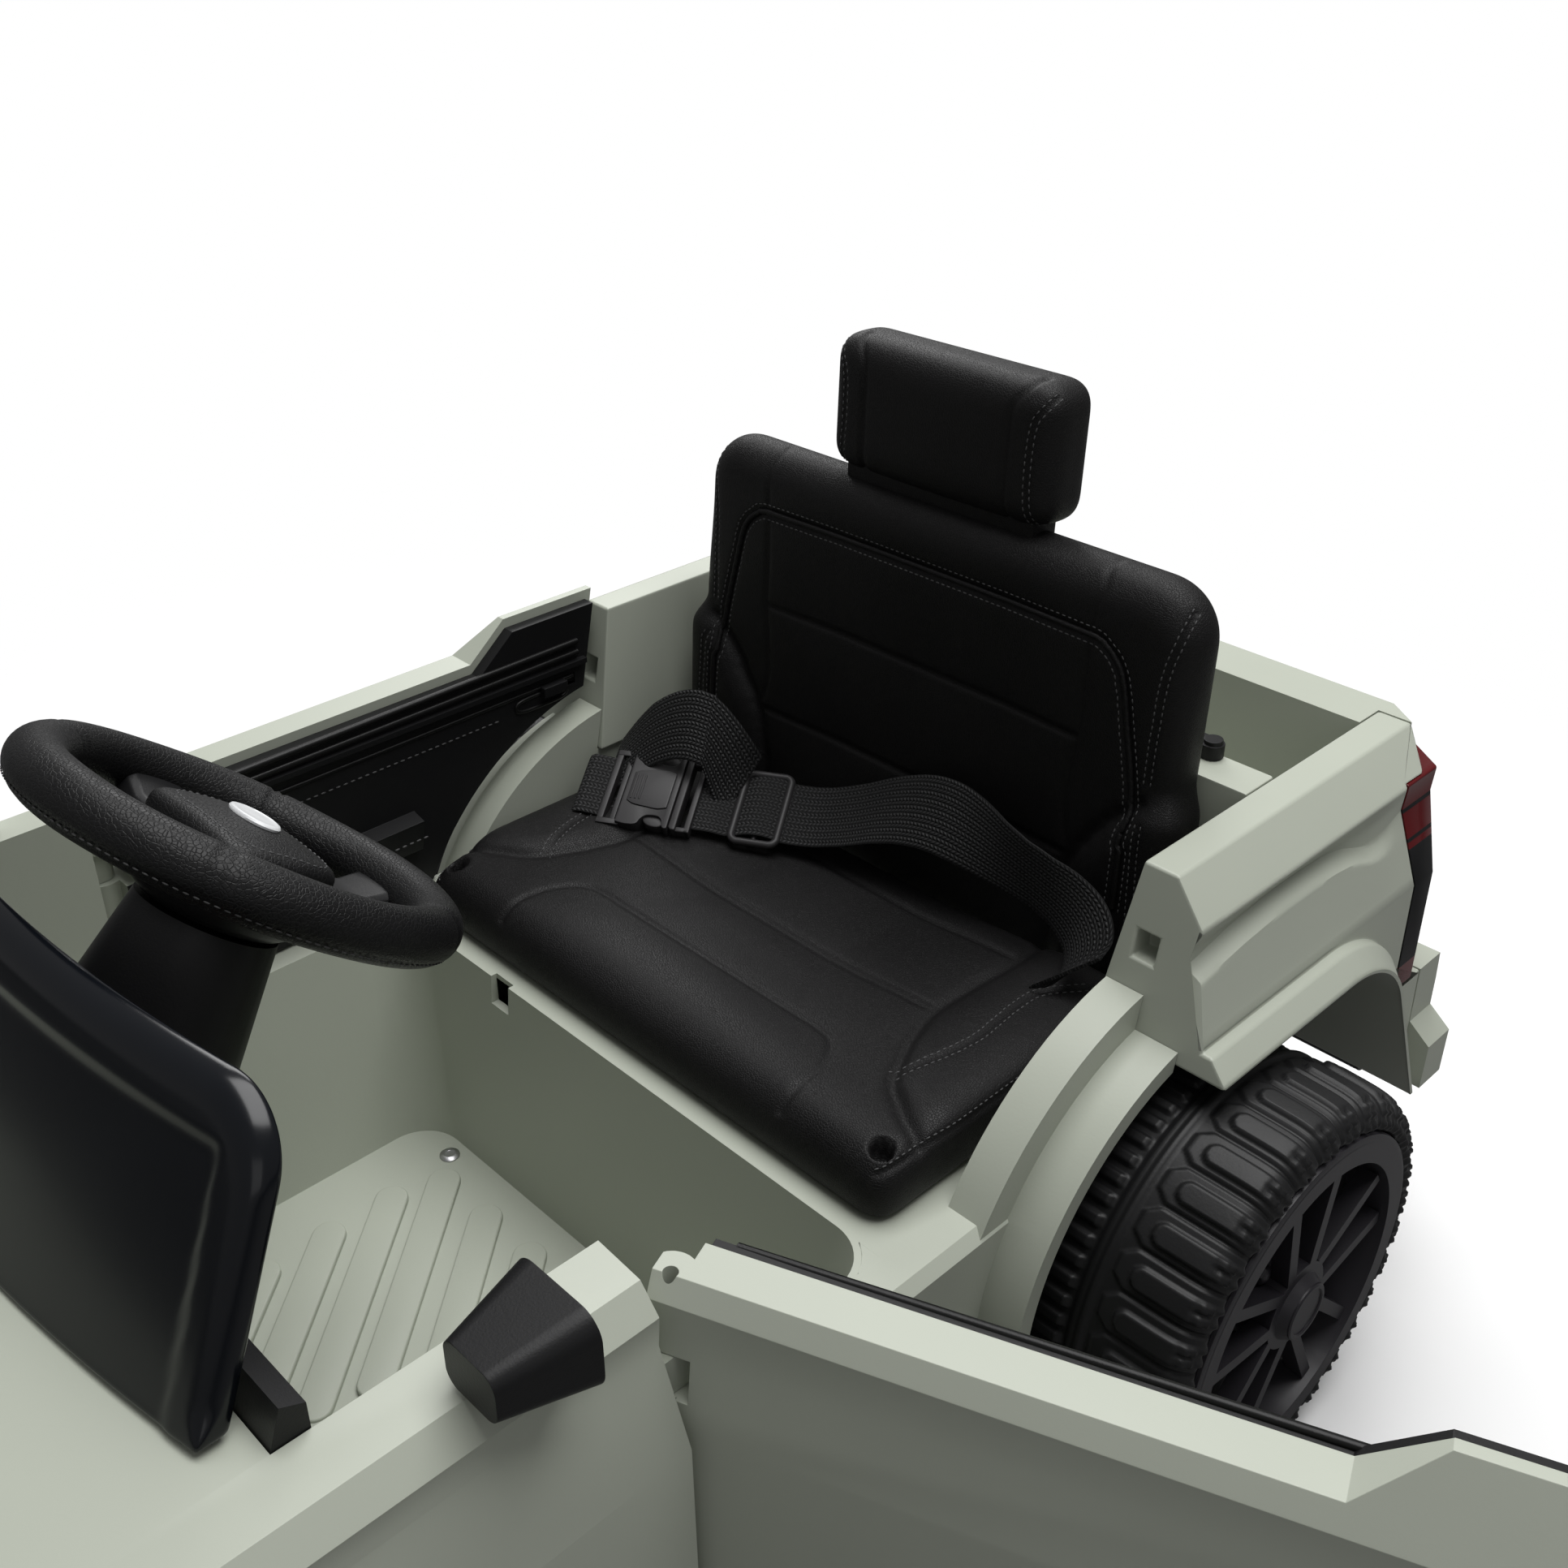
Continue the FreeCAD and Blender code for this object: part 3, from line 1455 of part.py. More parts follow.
def make_tyre():
    half = tyre_width / 2
    base = tyre_radius - tread_depth
    ring = about_wheel([
        (-half, rim_barrel + seat_gap),
        (-half, base - shoulder_drop),
        (-half + shoulder_width, base),
        (half - shoulder_width, base),
        (half, base - shoulder_drop),
        (half, rim_radius + seat_gap),
        (half - rim_flange - seat_gap, rim_radius + seat_gap),
        (half - rim_flange - seat_gap, rim_barrel + seat_gap),
    ])
    lugs = []
    step = full_turn / lug_count
    root = rim_radius + seat_gap * 2
    for index in range(lug_count):
        for side in (-1, 1):
            outer = side * (half - tread_depth / 2)
            inner = side * (half - lug_length)
            profile = [
                (outer, root),
                (outer, base - tread_depth / 2),
                (side * (half - shoulder_width / 2), tyre_radius),
                (inner, tyre_radius),
                (inner, root),
            ]
            lug = prism_y(profile, -lug_width / 2, lug_width / 2)
            lugs.append(turned(lug, origin, axis_x, step * (index + (side > 0) / 2)))
        pad = block(-pad_length / 2, pad_length / 2, -pad_width / 2, pad_width / 2, root,
                    tyre_radius - wall / 3)
        lugs.append(turned(pad, origin, axis_x, step * (index + 1 / 4)))
    return ring.fuse(lugs).removeSplitter()


def make_rim():
    half = tyre_width / 2
    face = half + rim_proud
    barrel = about_wheel([
        (-half, rim_barrel - rim_web),
        (-half, rim_barrel),
        (half - rim_flange, rim_barrel),
        (half - rim_flange, rim_radius),
        (half, rim_radius),
        (face, rim_radius - rim_flange),
        (face, rim_barrel),
        (face - rim_dish, rim_barrel - rim_web),
    ])
    dish = face - rim_dish
    web = about_wheel([
        (dish - rim_web, hub_radius - wall),
        (dish, hub_radius - wall),
        (dish, rim_barrel - rim_web / 2),
        (dish - rim_web, rim_barrel - rim_web / 2),
    ])
    hub = rod(vec(face - hub_length, 0, 0), vec(face - wall, 0, 0), hub_radius)
    cap = Part.makeCone(cap_radius, cap_radius - wall, cap_height, vec(face - wall, 0, 0), axis_x)
    spokes = []
    for index in range(spoke_count):
        for side in (-1, 1):
            bar = prism_x([
                (side * spoke_spread / 2 - spoke_width / 2, hub_radius - wall),
                (side * spoke_spread / 2 + spoke_width / 2, hub_radius - wall),
                (side * spoke_spread + spoke_width / 2, rim_barrel),
                (side * spoke_spread - spoke_width / 2, rim_barrel),
            ], face - wall - spoke_depth, face - wall)
            bar = bar.common(rod(vec(-half, 0, 0), vec(face, 0, 0), rim_barrel - rim_web / 2))
            spokes.append(turned(bar, origin, axis_x, full_turn / spoke_count * index))
    rim = joined([barrel, web, hub, cap] + spokes)
    bore_end = face - wall * 2
    return rim.cut(rod(vec(-half - overrun, 0, 0), vec(bore_end, 0, 0), axle_radius + run_gap))


def at_wheel(shape, side, y):
    copy = shape if side > 0 else mirrored(shape)
    return moved(copy, vec(side * wheel_centre_x, y, axle_z))


def wheel_bore_end():
    return tyre_outer_x + rim_proud - wall * 2 - seat_gap


def make_rear_axle():
    end = wheel_bore_end()
    return rod(vec(-end, rear_axle_y, axle_z), vec(end, rear_axle_y, axle_z), axle_radius)


def make_underbody():
    top = tub_low_z - seat_gap
    pan = rounded_block(-pan_half, pan_half, firewall_y, deck_front_y, pan_low_z, top, axis_z, well_corner)
    front = block(-front_beam_half, front_beam_half, front_beam_y, firewall_y + well_corner, pan_low_z, top)
    front_top = block(-front_beam_half, front_beam_half, front_beam_y, firewall_y - wall - seat_gap, top,
                      pan_beam_z)
    rear = block(-rear_beam_half, rear_beam_half, deck_front_y - well_corner, rear_beam_y, pan_low_z, top)
    rear_top = block(-rear_beam_half, rear_beam_half, deck_front_y + wall * 2, rear_beam_y, top, pan_beam_z)
    step = rounded_block(pan_half - well_corner, step_out_x, step_front_y, step_rear_y, step_low_z - wall,
                         top, axis_z, step_corner)
    rail = block(sill_half + wall, step_out_x - step_corner, step_front_y + step_corner,
                 deck_front_y - seat_gap,
                 step_low_z, sill_foot_z - seat_gap)
    lug = prism_x([
        (rear_axle_y - axle_lug_half * 2, pan_beam_z - wall),
        (rear_axle_y - axle_lug_half, axle_z + axle_lug_rise),
        (rear_axle_y + axle_lug_half, axle_z + axle_lug_rise),
        (rear_axle_y + axle_lug_half * 2, pan_beam_z - wall),
    ], axle_lug_x - axle_lug * 2, axle_lug_x - axle_lug)
    low_arm = sleeve_low_z - seat_gap
    high_arm = sleeve_high_z + seat_gap
    web = block(carrier_web_x - carrier_web * 2, carrier_web_x, front_axle_y - carrier_half,
                front_axle_y + carrier_half, pan_beam_z - wall, high_arm + carrier_arm)
    arms = []
    for level in (low_arm - carrier_arm, high_arm):
        arm = block(carrier_web_x - wall, kingpin_x, front_axle_y - sleeve_radius,
                    front_axle_y + sleeve_radius,
                    level, level + carrier_arm)
        tip = rod(kingpin_foot(level), kingpin_foot(level + carrier_arm), sleeve_radius)
        arms += [arm, tip]
    side = [step, rail, lug, web] + arms
    frame = joined([pan, front, front_top, rear, rear_top] + side + [mirrored(piece) for piece in side])
    bore = rod(kingpin_foot(0), kingpin_foot(high_arm + carrier_arm + overrun), kingpin_radius + run_gap)
    axle_bore = rod(vec(-flare_x, rear_axle_y, axle_z), vec(flare_x, rear_axle_y, axle_z),
                    axle_radius + run_gap)
    return frame.cut(bore).cut(mirrored(bore)).cut(axle_bore)


def make_gear_motor():
    low_x = axle_lug_x - axle_lug + seat_gap
    box = rounded_block(low_x, gear_outer_x, rear_axle_y - gear_half_y, rear_axle_y + gear_half_y,
                        gear_low_z, gear_high_z, axis_x, gear_corner)
    middle = (low_x + gear_outer_x) / 2
    motor = rod(vec(middle, rear_axle_y - gear_half_y - motor_length, axle_z),
                vec(middle, rear_axle_y - gear_half_y + wall, axle_z), motor_radius)
    bore = rod(vec(0, rear_axle_y, axle_z), vec(flare_x, rear_axle_y, axle_z), axle_radius + run_gap)
    return joined([box, motor]).cut(bore)


def make_battery():
    low = pan_beam_z + seat_gap
    return rounded_block(-battery_half_x, battery_half_x, battery_front_y, battery_rear_y,
                         low, low + battery_height, axis_z, battery_corner)


def pedal_level():
    return floor_z + floor_rib_height + pedal_pin_radius + wall


def make_pedal():
    plate = block(-pedal_half, pedal_half, -pedal_length, 0, -pedal_thick / 2, pedal_thick / 2)
    plate = rounded(plate, axis_z, pedal_half / 3, lambda middle: middle.y < 0)
    pitch = pedal_length / (pedal_rib_count + 1)
    ribs = []
    for index in range(pedal_rib_count):
        y = -pitch * (index + 1)
        ribs.append(block(-pedal_half + wall * 2, pedal_half - wall * 2, y - pedal_rib / 2,
                          y + pedal_rib / 2,
                          0, pedal_thick / 2 + pedal_rib / 2))
    reach = pedal_half + pedal_lug
    pin = rod(vec(-reach, 0, 0), vec(reach, 0, 0), pedal_pin_radius)
    pedal = turned(joined([plate, pin] + ribs), origin, axis_x, -pedal_angle)
    return moved(pedal, vec(pedal_x, pedal_y, pedal_level()))


def make_pedal_lugs():
    lugs = []
    for side in (-1, 1):
        low = pedal_x + side * (pedal_half + seat_gap)
        high = pedal_x + side * (pedal_half + pedal_lug)
        lug = prism_x([
            (pedal_y - pedal_lug * 2, floor_z - wall / 2),
            (pedal_y - pedal_lug, pedal_level() + pedal_lug),
            (pedal_y + pedal_lug, pedal_level() + pedal_lug),
            (pedal_y + pedal_lug * 2, floor_z - wall / 2),
        ], min(low, high), max(low, high))
        lugs.append(lug)
    bore = rod(vec(pedal_x - sill_half / 2, pedal_y, pedal_level()),
               vec(pedal_x + sill_half / 2, pedal_y, pedal_level()),
               pedal_pin_radius + run_gap)
    return [lug.cut(bore) for lug in lugs]


def opened(shape):
    return turned(shape, vec(hinge_x, hinge_y, 0), axis_z, -door_open_angle)


def build():
    front_body = make_front_body()
    quarter = make_quarter()
    tail_lamp = make_tail_lamp()
    head_lamp = make_head_lamp()
    mirror = make_mirror()
    glass = mirror_glass(seat_gap)
    skin = make_door_skin()
    panel = make_door_panel()
    bolt = make_door_bolt()
    gear_motor = make_gear_motor()
    knuckle = make_knuckle()
    pieces = {
        "underbody": make_underbody(),
        "cabin_tub": joined([make_tub()] + make_pedal_lugs()),
        "rear_quarter_left": quarter,
        "rear_quarter_right": mirrored(quarter),
        "bed_tray": make_bed_tray(),
        "rear_panel": make_rear_panel(),
        "tailgate_handle": make_tailgate_handle(),
        "tail_lamp_left": tail_lamp,
        "tail_lamp_right": mirrored(tail_lamp),
        "rear_bumper": make_rear_bumper(),
        "front_body": front_body,
        "grille": make_grille(),
        "front_bumper": make_front_bumper(),
        "headlamp_left": head_lamp,
        "headlamp_right": mirrored(head_lamp),
        "windshield": make_windshield(),
        "dashboard": make_dashboard(),
        "mirror_left": mirror,
        "mirror_right": mirrored(mirror),
        "mirror_glasses": Part.makeCompound([glass, mirrored(glass)]),
        "seat_cushion": make_cushion(),
        "seat_backrest": make_backrest(),
        "headrest": make_headrest(),
        "belt_near": make_near_strap(),
        "belt_far": make_far_strap(),
        "buckle_socket": make_buckle_socket(),
        "buckle_plug": make_buckle_plug(),
        "tri_glide": make_tri_glide(),
        "seat_latch": make_seat_latch(),
        "door_left_skin": opened(skin),
        "door_left_panel": opened(panel),
        "door_left_bolt": opened(bolt),
        "door_right_skin": mirrored(skin),
        "door_right_panel": mirrored(panel),
        "door_right_bolt": mirrored(bolt),
        "door_hinge_pins": make_hinge_pins(),
        "steering_wheel": make_steering_wheel(),
        "horn_pad": make_horn_pad(),
        "wheel_switch_left": make_wheel_switch(1),
        "wheel_switch_right": make_wheel_switch(-1),
        "steering_shaft": make_shaft(),
        "knuckle_left": knuckle,
        "knuckle_right": mirrored(knuckle),
        "kingpins": make_kingpins(),
        "tie_rod": make_tie_rod(),
        "rear_axle": make_rear_axle(),
        "gear_motor_left": gear_motor,
        "gear_motor_right": mirrored(gear_motor),
        "battery": make_battery(),
        "pedal": make_pedal(),
        "power_button": make_power_button(),
        "direction_switch": make_rocker(),
    }
    tyre = make_tyre()
    rim = make_rim()
    for end, y in (("front", front_axle_y), ("rear", rear_axle_y)):
        for name, side in (("left", 1), ("right", -1)):
            pieces["tyre_" + end + "_" + name] = at_wheel(tyre, side, y)
            pieces["rim_" + end + "_" + name] = at_wheel(rim, side, y)
    return pieces


os.makedirs("parts", exist_ok=True)
for node, shape in build().items():
    shape = moved(shape, vec(0, 0, -pan_low_z))
    shape.exportStep(os.path.join("parts", node + ".step"))
    box = shape.BoundBox
    print(node, len(shape.Solids), round(shape.Volume), shape.isValid(),
          [round(value) for value in (box.XMin, box.XMax, box.YMin, box.YMax, box.ZMin, box.ZMax)])
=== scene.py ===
import bpy, bmesh, json, math
import numpy as np
from contextlib import contextmanager
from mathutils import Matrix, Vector
from mathutils.bvhtree import BVHTree
from mathutils.kdtree import KDTree


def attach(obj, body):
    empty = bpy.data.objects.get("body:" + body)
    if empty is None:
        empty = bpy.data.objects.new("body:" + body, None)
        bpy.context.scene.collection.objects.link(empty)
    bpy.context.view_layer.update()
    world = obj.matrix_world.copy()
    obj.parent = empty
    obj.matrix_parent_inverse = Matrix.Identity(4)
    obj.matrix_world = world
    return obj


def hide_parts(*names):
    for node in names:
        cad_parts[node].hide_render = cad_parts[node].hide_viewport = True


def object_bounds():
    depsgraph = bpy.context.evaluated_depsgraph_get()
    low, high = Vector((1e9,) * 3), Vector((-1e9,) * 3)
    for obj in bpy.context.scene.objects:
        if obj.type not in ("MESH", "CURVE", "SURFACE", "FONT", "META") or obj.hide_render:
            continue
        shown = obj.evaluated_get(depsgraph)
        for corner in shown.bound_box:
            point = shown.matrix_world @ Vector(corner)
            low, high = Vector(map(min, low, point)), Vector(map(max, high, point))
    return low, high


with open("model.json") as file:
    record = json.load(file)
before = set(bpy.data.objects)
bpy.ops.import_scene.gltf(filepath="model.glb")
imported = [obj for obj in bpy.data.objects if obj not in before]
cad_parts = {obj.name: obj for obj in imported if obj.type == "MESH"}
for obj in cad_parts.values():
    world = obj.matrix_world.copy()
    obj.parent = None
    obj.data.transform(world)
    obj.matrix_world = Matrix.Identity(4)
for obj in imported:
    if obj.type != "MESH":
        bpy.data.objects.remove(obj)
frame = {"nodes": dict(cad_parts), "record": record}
cadBox = [list(corner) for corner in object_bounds()]
scene = bpy.context.scene
scene.view_settings.view_transform = "Standard"
bodyOf = {node: body for body, nodes in frame["record"]["behaviour"]["bodies"].items() for node in nodes}
slotOf = {part["node"]: part["material_slot"] for part in frame["record"]["subparts"]}
groundZ = cadBox[0][2]
mm = 0.001
print("frame loaded", len(frame["nodes"]), "nodes")


# shader groups shared by several finishes

def newGroup(name, inputs, outputs):
    tree = bpy.data.node_groups.new(name, "ShaderNodeTree")
    for label, value in inputs:
        tree.interface.new_socket(label, in_out="INPUT", socket_type="NodeSocketFloat").default_value = value
    for label in outputs:
        tree.interface.new_socket(label, in_out="OUTPUT", socket_type="NodeSocketFloat")
    return tree, tree.nodes.new("NodeGroupInput"), tree.nodes.new("NodeGroupOutput")


def mathNode(tree, operation, first, second):
    node = tree.nodes.new("ShaderNodeMath")
    node.operation = operation
    for index, value in enumerate((first, second)):
        if isinstance(value, (int, float)):
            node.inputs[index].default_value = value
        else:
            tree.links.new(value, node.inputs[index])
    return node.outputs[0]


def noiseNode(tree, vector, scale, detail):
    node = tree.nodes.new("ShaderNodeTexNoise")
    node.inputs["Detail"].default_value = detail
    tree.links.new(vector, node.inputs["Vector"])
    if isinstance(scale, (int, float)):
        node.inputs["Scale"].default_value = scale
    else:
        tree.links.new(scale, node.inputs["Scale"])
    return node.outputs["Fac"]


def makeGrainGroup():  # pebbled leather: cells with soft creases between them
    tree, entry, leave = newGroup("pebbleGrain", [("Scale", 700.0), ("Crease", 0.12)], ["Height", "Crease Mask"])
    coords = tree.nodes.new("ShaderNodeTexCoord").outputs["Object"]
    cells = tree.nodes.new("ShaderNodeTexVoronoi")
    cells.feature = "DISTANCE_TO_EDGE"
    tree.links.new(coords, cells.inputs["Vector"])
    tree.links.new(entry.outputs["Scale"], cells.inputs["Scale"])
    crease = mathNode(tree, "DIVIDE", cells.outputs["Distance"], entry.outputs["Crease"])
    crease = mathNode(tree, "MINIMUM", crease, 1.0)
    fine = noiseNode(tree, coords, mathNode(tree, "MULTIPLY", entry.outputs["Scale"], 2.2), 2.0)
    height = mathNode(tree, "ADD", mathNode(tree, "MULTIPLY", crease, 0.75), mathNode(tree, "MULTIPLY", fine, 0.25))
    tree.links.new(height, leave.inputs["Height"])
    tree.links.new(mathNode(tree, "SUBTRACT", 1.0, crease), leave.inputs["Crease Mask"])
    return tree


def makeHandlingGroup():  # cloudy change in gloss and shade from moulding and handling
    tree, entry, leave = newGroup("handlingMarks", [("Scale", 9.0), ("Fine Scale", 260.0)], ["Cloud", "Speckle"])
    coords = tree.nodes.new("ShaderNodeTexCoord").outputs["Object"]
    tree.links.new(noiseNode(tree, coords, entry.outputs["Scale"], 4.0), leave.inputs["Cloud"])
    tree.links.new(noiseNode(tree, coords, entry.outputs["Fine Scale"], 2.0), leave.inputs["Speckle"])
    return tree


grainGroup = makeGrainGroup()
handlingGroup = makeHandlingGroup()


def placeGroup(tree, group, **values):
    node = tree.nodes.new("ShaderNodeGroup")
    node.node_tree = group
    for label, value in values.items():
        node.inputs[label.replace("_", " ")].default_value = value
    return node


def rampNode(tree, value, low, high, lowColour, highColour):
    node = tree.nodes.new("ShaderNodeValToRGB")
    node.color_ramp.elements[0].position = low
    node.color_ramp.elements[1].position = high
    node.color_ramp.elements[0].color = (*lowColour, 1)
    node.color_ramp.elements[1].color = (*highColour, 1)
    tree.links.new(value, node.inputs["Fac"])
    return node.outputs["Color"]


def rangeNode(tree, value, low, high):
    node = tree.nodes.new("ShaderNodeMapRange")
    node.inputs["To Min"].default_value = low
    node.inputs["To Max"].default_value = high
    tree.links.new(value, node.inputs["Value"])
    return node.outputs["Result"]


def newMaterial(name):
    material = bpy.data.materials.new(name)
    material.use_nodes = True
    tree = material.node_tree
    return material, tree, tree.nodes["Principled BSDF"]


def bumpInto(tree, shader, height, distance):
    bump = tree.nodes.new("ShaderNodeBump")
    bump.inputs["Distance"].default_value = distance
    bump.inputs["Strength"].default_value = 1.0
    tree.links.new(height, bump.inputs["Height"])
    tree.links.new(bump.outputs["Normal"], shader.inputs["Normal"])


def shades(colour, spread):
    return tuple(c * (1 - spread) for c in colour), tuple(min(c * (1 + spread), 1) for c in colour)


def mouldedPlastic(name, colour, rough, spread, fineScale, depth, coat=0.0):
    material, tree, shader = newMaterial(name)
    marks = placeGroup(tree, handlingGroup, Scale=7.0, Fine_Scale=fineScale)
    dark, light = shades(colour, spread)
    tree.links.new(rampNode(tree, marks.outputs["Cloud"], 0.3, 0.7, dark, light), shader.inputs["Base Color"])
    tree.links.new(rangeNode(tree, marks.outputs["Cloud"], rough - 0.07, rough + 0.07), shader.inputs["Roughness"])
    bumpInto(tree, shader, marks.outputs["Speckle"], depth)
    if coat:
        shader.inputs["Coat Weight"].default_value = coat
        shader.inputs["Coat Roughness"].default_value = 0.12
    return material


def grainedLeather(name, colour, rough, scale, depth):
    material, tree, shader = newMaterial(name)
    grain = placeGroup(tree, grainGroup, Scale=scale, Crease=0.14)
    marks = placeGroup(tree, handlingGroup, Scale=11.0, Fine_Scale=400.0)
    dark, light = shades(colour, 0.3)
    tree.links.new(rampNode(tree, marks.outputs["Cloud"], 0.3, 0.75, dark, light), shader.inputs["Base Color"])
    gloss = rangeNode(tree, marks.outputs["Cloud"], rough - 0.06, rough + 0.06)
    tree.links.new(mathNode(tree, "ADD", gloss, mathNode(tree, "MULTIPLY", grain.outputs["Crease Mask"], 0.15)),
                   shader.inputs["Roughness"])
    bumpInto(tree, shader, grain.outputs["Height"], depth)
    return material


def makeWeaveGroup():  # ribs of yarn in a zigzag, laid out on the band's own UV map in metres
    tree, entry, leave = newGroup("bandWeave", [("Along", 0.0022), ("Across", 0.0019)], ["Height"])
    split = tree.nodes.new("ShaderNodeSeparateXYZ")
    tree.links.new(tree.nodes.new("ShaderNodeUVMap").outputs["UV"], split.inputs["Vector"])
    column = mathNode(tree, "DIVIDE", split.outputs["Y"], entry.outputs["Across"])
    slant = mathNode(tree, "PINGPONG", column, 1.0)
    pick = mathNode(tree, "DIVIDE", split.outputs["X"], entry.outputs["Along"])
    row = mathNode(tree, "ADD", pick, mathNode(tree, "MULTIPLY", slant, 0.6))
    yarn = mathNode(tree, "PINGPONG", row, 0.5)
    edge = mathNode(tree, "PINGPONG", column, 0.5)
    rounded = mathNode(tree, "MULTIPLY", mathNode(tree, "MULTIPLY", yarn, 2.0), mathNode(tree, "MULTIPLY", edge, 2.0))
    tree.links.new(mathNode(tree, "POWER", rounded, 0.5), leave.inputs["Height"])
    return tree


weaveGroup = makeWeaveGroup()


def wovenBand(name, colour, along, across):
    material, tree, shader = newMaterial(name)
    weave = placeGroup(tree, weaveGroup, Along=along, Across=across)
    # painted shade and painted highlight: the weave's low places are coloured darker and the yarn tops lighter
    dark, light = shades(colour, 0.8)
    tree.links.new(rampNode(tree, weave.outputs["Height"], 0.2, 0.9, dark, light), shader.inputs["Base Color"])
    tree.links.new(rangeNode(tree, weave.outputs["Height"], 0.75, 0.5), shader.inputs["Roughness"])
    bumpInto(tree, shader, weave.outputs["Height"], 0.0008)
    return material


finish = {
    "sage": mouldedPlastic("sagePlastic", (0.40, 0.425, 0.36), 0.42, 0.025, 700.0, 0.00002),
    "tub": mouldedPlastic("sageTub", (0.40, 0.425, 0.36), 0.46, 0.025, 700.0, 0.00003),
    "black": mouldedPlastic("blackTrim", (0.0085, 0.0085, 0.009), 0.42, 0.2, 1200.0, 0.00005),
    "panel": mouldedPlastic("doorPanelBlack", (0.006, 0.006, 0.006), 0.36, 0.2, 1500.0, 0.00004),
    "satin": mouldedPlastic("buckleSatin", (0.022, 0.021, 0.022), 0.42, 0.15, 1500.0, 0.00003),
    "leather": grainedLeather("seatLeather", (0.0058, 0.0055, 0.0057), 0.45, 900.0, 0.00012),
    "wheelLeather": grainedLeather("wheelLeather", (0.0065, 0.0065, 0.0068), 0.4, 620.0, 0.00014),
    "rubber": mouldedPlastic("tyreBlack", (0.0095, 0.0095, 0.01), 0.48, 0.25, 600.0, 0.00006),
    "deep": mouldedPlastic("unlitBlack", (0.0035, 0.0035, 0.004), 0.5, 0.2, 900.0, 0.00003),
    "rim": mouldedPlastic("rimGrey", (0.019, 0.0175, 0.021), 0.4, 0.15, 1600.0, 0.00002),
    "shield": mouldedPlastic("shieldNavy", (0.0022, 0.003, 0.0048), 0.2, 0.15, 300.0, 0.00001, 0.12),
    "red": mouldedPlastic("lampRed", (0.075, 0.0008, 0.002), 0.2, 0.1, 300.0, 0.00001, 0.1),
    "clear": mouldedPlastic("lampClear", (0.62, 0.64, 0.66), 0.12, 0.04, 300.0, 0.00001, 0.8),
    "steel": mouldedPlastic("zincSteel", (0.5, 0.5, 0.51), 0.35, 0.08, 900.0, 0.00002),
    "silver": mouldedPlastic("plateSilver", (0.62, 0.63, 0.64), 0.28, 0.04, 1500.0, 0.00001),
    "button": mouldedPlastic("buttonRed", (0.3, 0.01, 0.012), 0.3, 0.1, 900.0, 0.00002),
    "mirror": mouldedPlastic("mirrorSilver", (0.8, 0.81, 0.82), 0.05, 0.02, 300.0, 0.000005),
    "webbing": wovenBand("webbingBlack", (0.0125, 0.0125, 0.013), 0.0024, 0.0021),
    "thread": mouldedPlastic("seatThread", (0.06, 0.06, 0.061), 0.6, 0.2, 2000.0, 0.00003),
}


def tune(names, label, value):
    for name in names:
        finish[name].node_tree.nodes["Principled BSDF"].inputs[label].default_value = value


tune(("satin", "rubber", "rim", "webbing", "thread", "shield", "red", "deep"), "Specular IOR Level", 0.32)
tune(("leather", "wheelLeather", "panel", "black"), "Specular IOR Level", 0.22)
tune(("steel", "mirror"), "Metallic", 1.0)
slotFinish = {"body": "sage", "tub": "tub", "black_trim": "black", "rim": "rim", "red_lens": "red", "clear_lens": "clear",
              "mirror": "mirror", "steel": "steel", "button": "button"}  # for the nodes that keep their own shape
print("finishes made", len(finish))


# turning CAD nodes into dressed pieces; widths are metres, angles degrees

dressing = {
    "weld": 0.00002, "flat": 0.6, "segments": 2, "limit": 32, "smooth": 38, "width": 0.0008,
    "widths": {"cabin_tub": 0.0022, "front_body": 0.003, "rear_quarter_left": 0.0015, "rear_quarter_right": 0.0015,
               "rear_panel": 0.0025, "bed_tray": 0.0022, "dashboard": 0.004,
               "mirror_left": 0.005, "mirror_right": 0.005},
    "rounded": ("mirror_left", "mirror_right"), "unclamped": ("rear_quarter_left", "rear_quarter_right"),
}


def objectFrom(name, mesh, material=None):
    obj = bpy.data.objects.new(name, mesh)
    scene.collection.objects.link(obj)
    if material:
        mesh.materials.clear()
        mesh.materials.append(material)
    return obj


@contextmanager
def editing(mesh):
    bm = bmesh.new()
    bm.from_mesh(mesh)
    yield bm
    bm.to_mesh(mesh)
    bm.free()


def shadeSmooth(mesh):
    for face in mesh.polygons:
        face.use_smooth = True


def smoothByAngle(mesh, degrees):
    with editing(mesh) as bm:
        for face in bm.faces:
            face.smooth = True
        for edge in bm.edges:
            edge.smooth = len(edge.link_faces) == 2 and edge.calc_face_angle(0) < math.radians(degrees)


def cleanCopy(node):
    mesh = frame["nodes"][node].data.copy()
    with editing(mesh) as bm:
        bmesh.ops.remove_doubles(bm, verts=bm.verts, dist=dressing["weld"])
        bmesh.ops.dissolve_limit(bm, angle_limit=math.radians(dressing["flat"]), verts=bm.verts, edges=bm.edges)
    return mesh


def baked(obj):
    mesh = bpy.data.meshes.new_from_object(obj.evaluated_get(bpy.context.evaluated_depsgraph_get()))
    obj.modifiers.clear()
    obj.data = mesh
    return mesh


def evenNormals(obj):  # flat faces stay flat and only the softened edges turn
    obj.modifiers.new("evenNormals", "WEIGHTED_NORMAL").keep_sharp = True
    baked(obj)


def softenEdges(obj, width, segments, limit, clamp=True):
    soft = obj.modifiers.new("softEdge", "BEVEL")
    soft.width = width
    soft.segments = segments
    soft.use_clamp_overlap = clamp
    soft.limit_method = "ANGLE"
    soft.angle_limit = math.radians(limit)
    baked(obj)


def refine(obj, levels):
    smooth = obj.modifiers.new("finer", "SUBSURF")
    smooth.levels = levels
    smooth.render_levels = levels
    baked(obj)


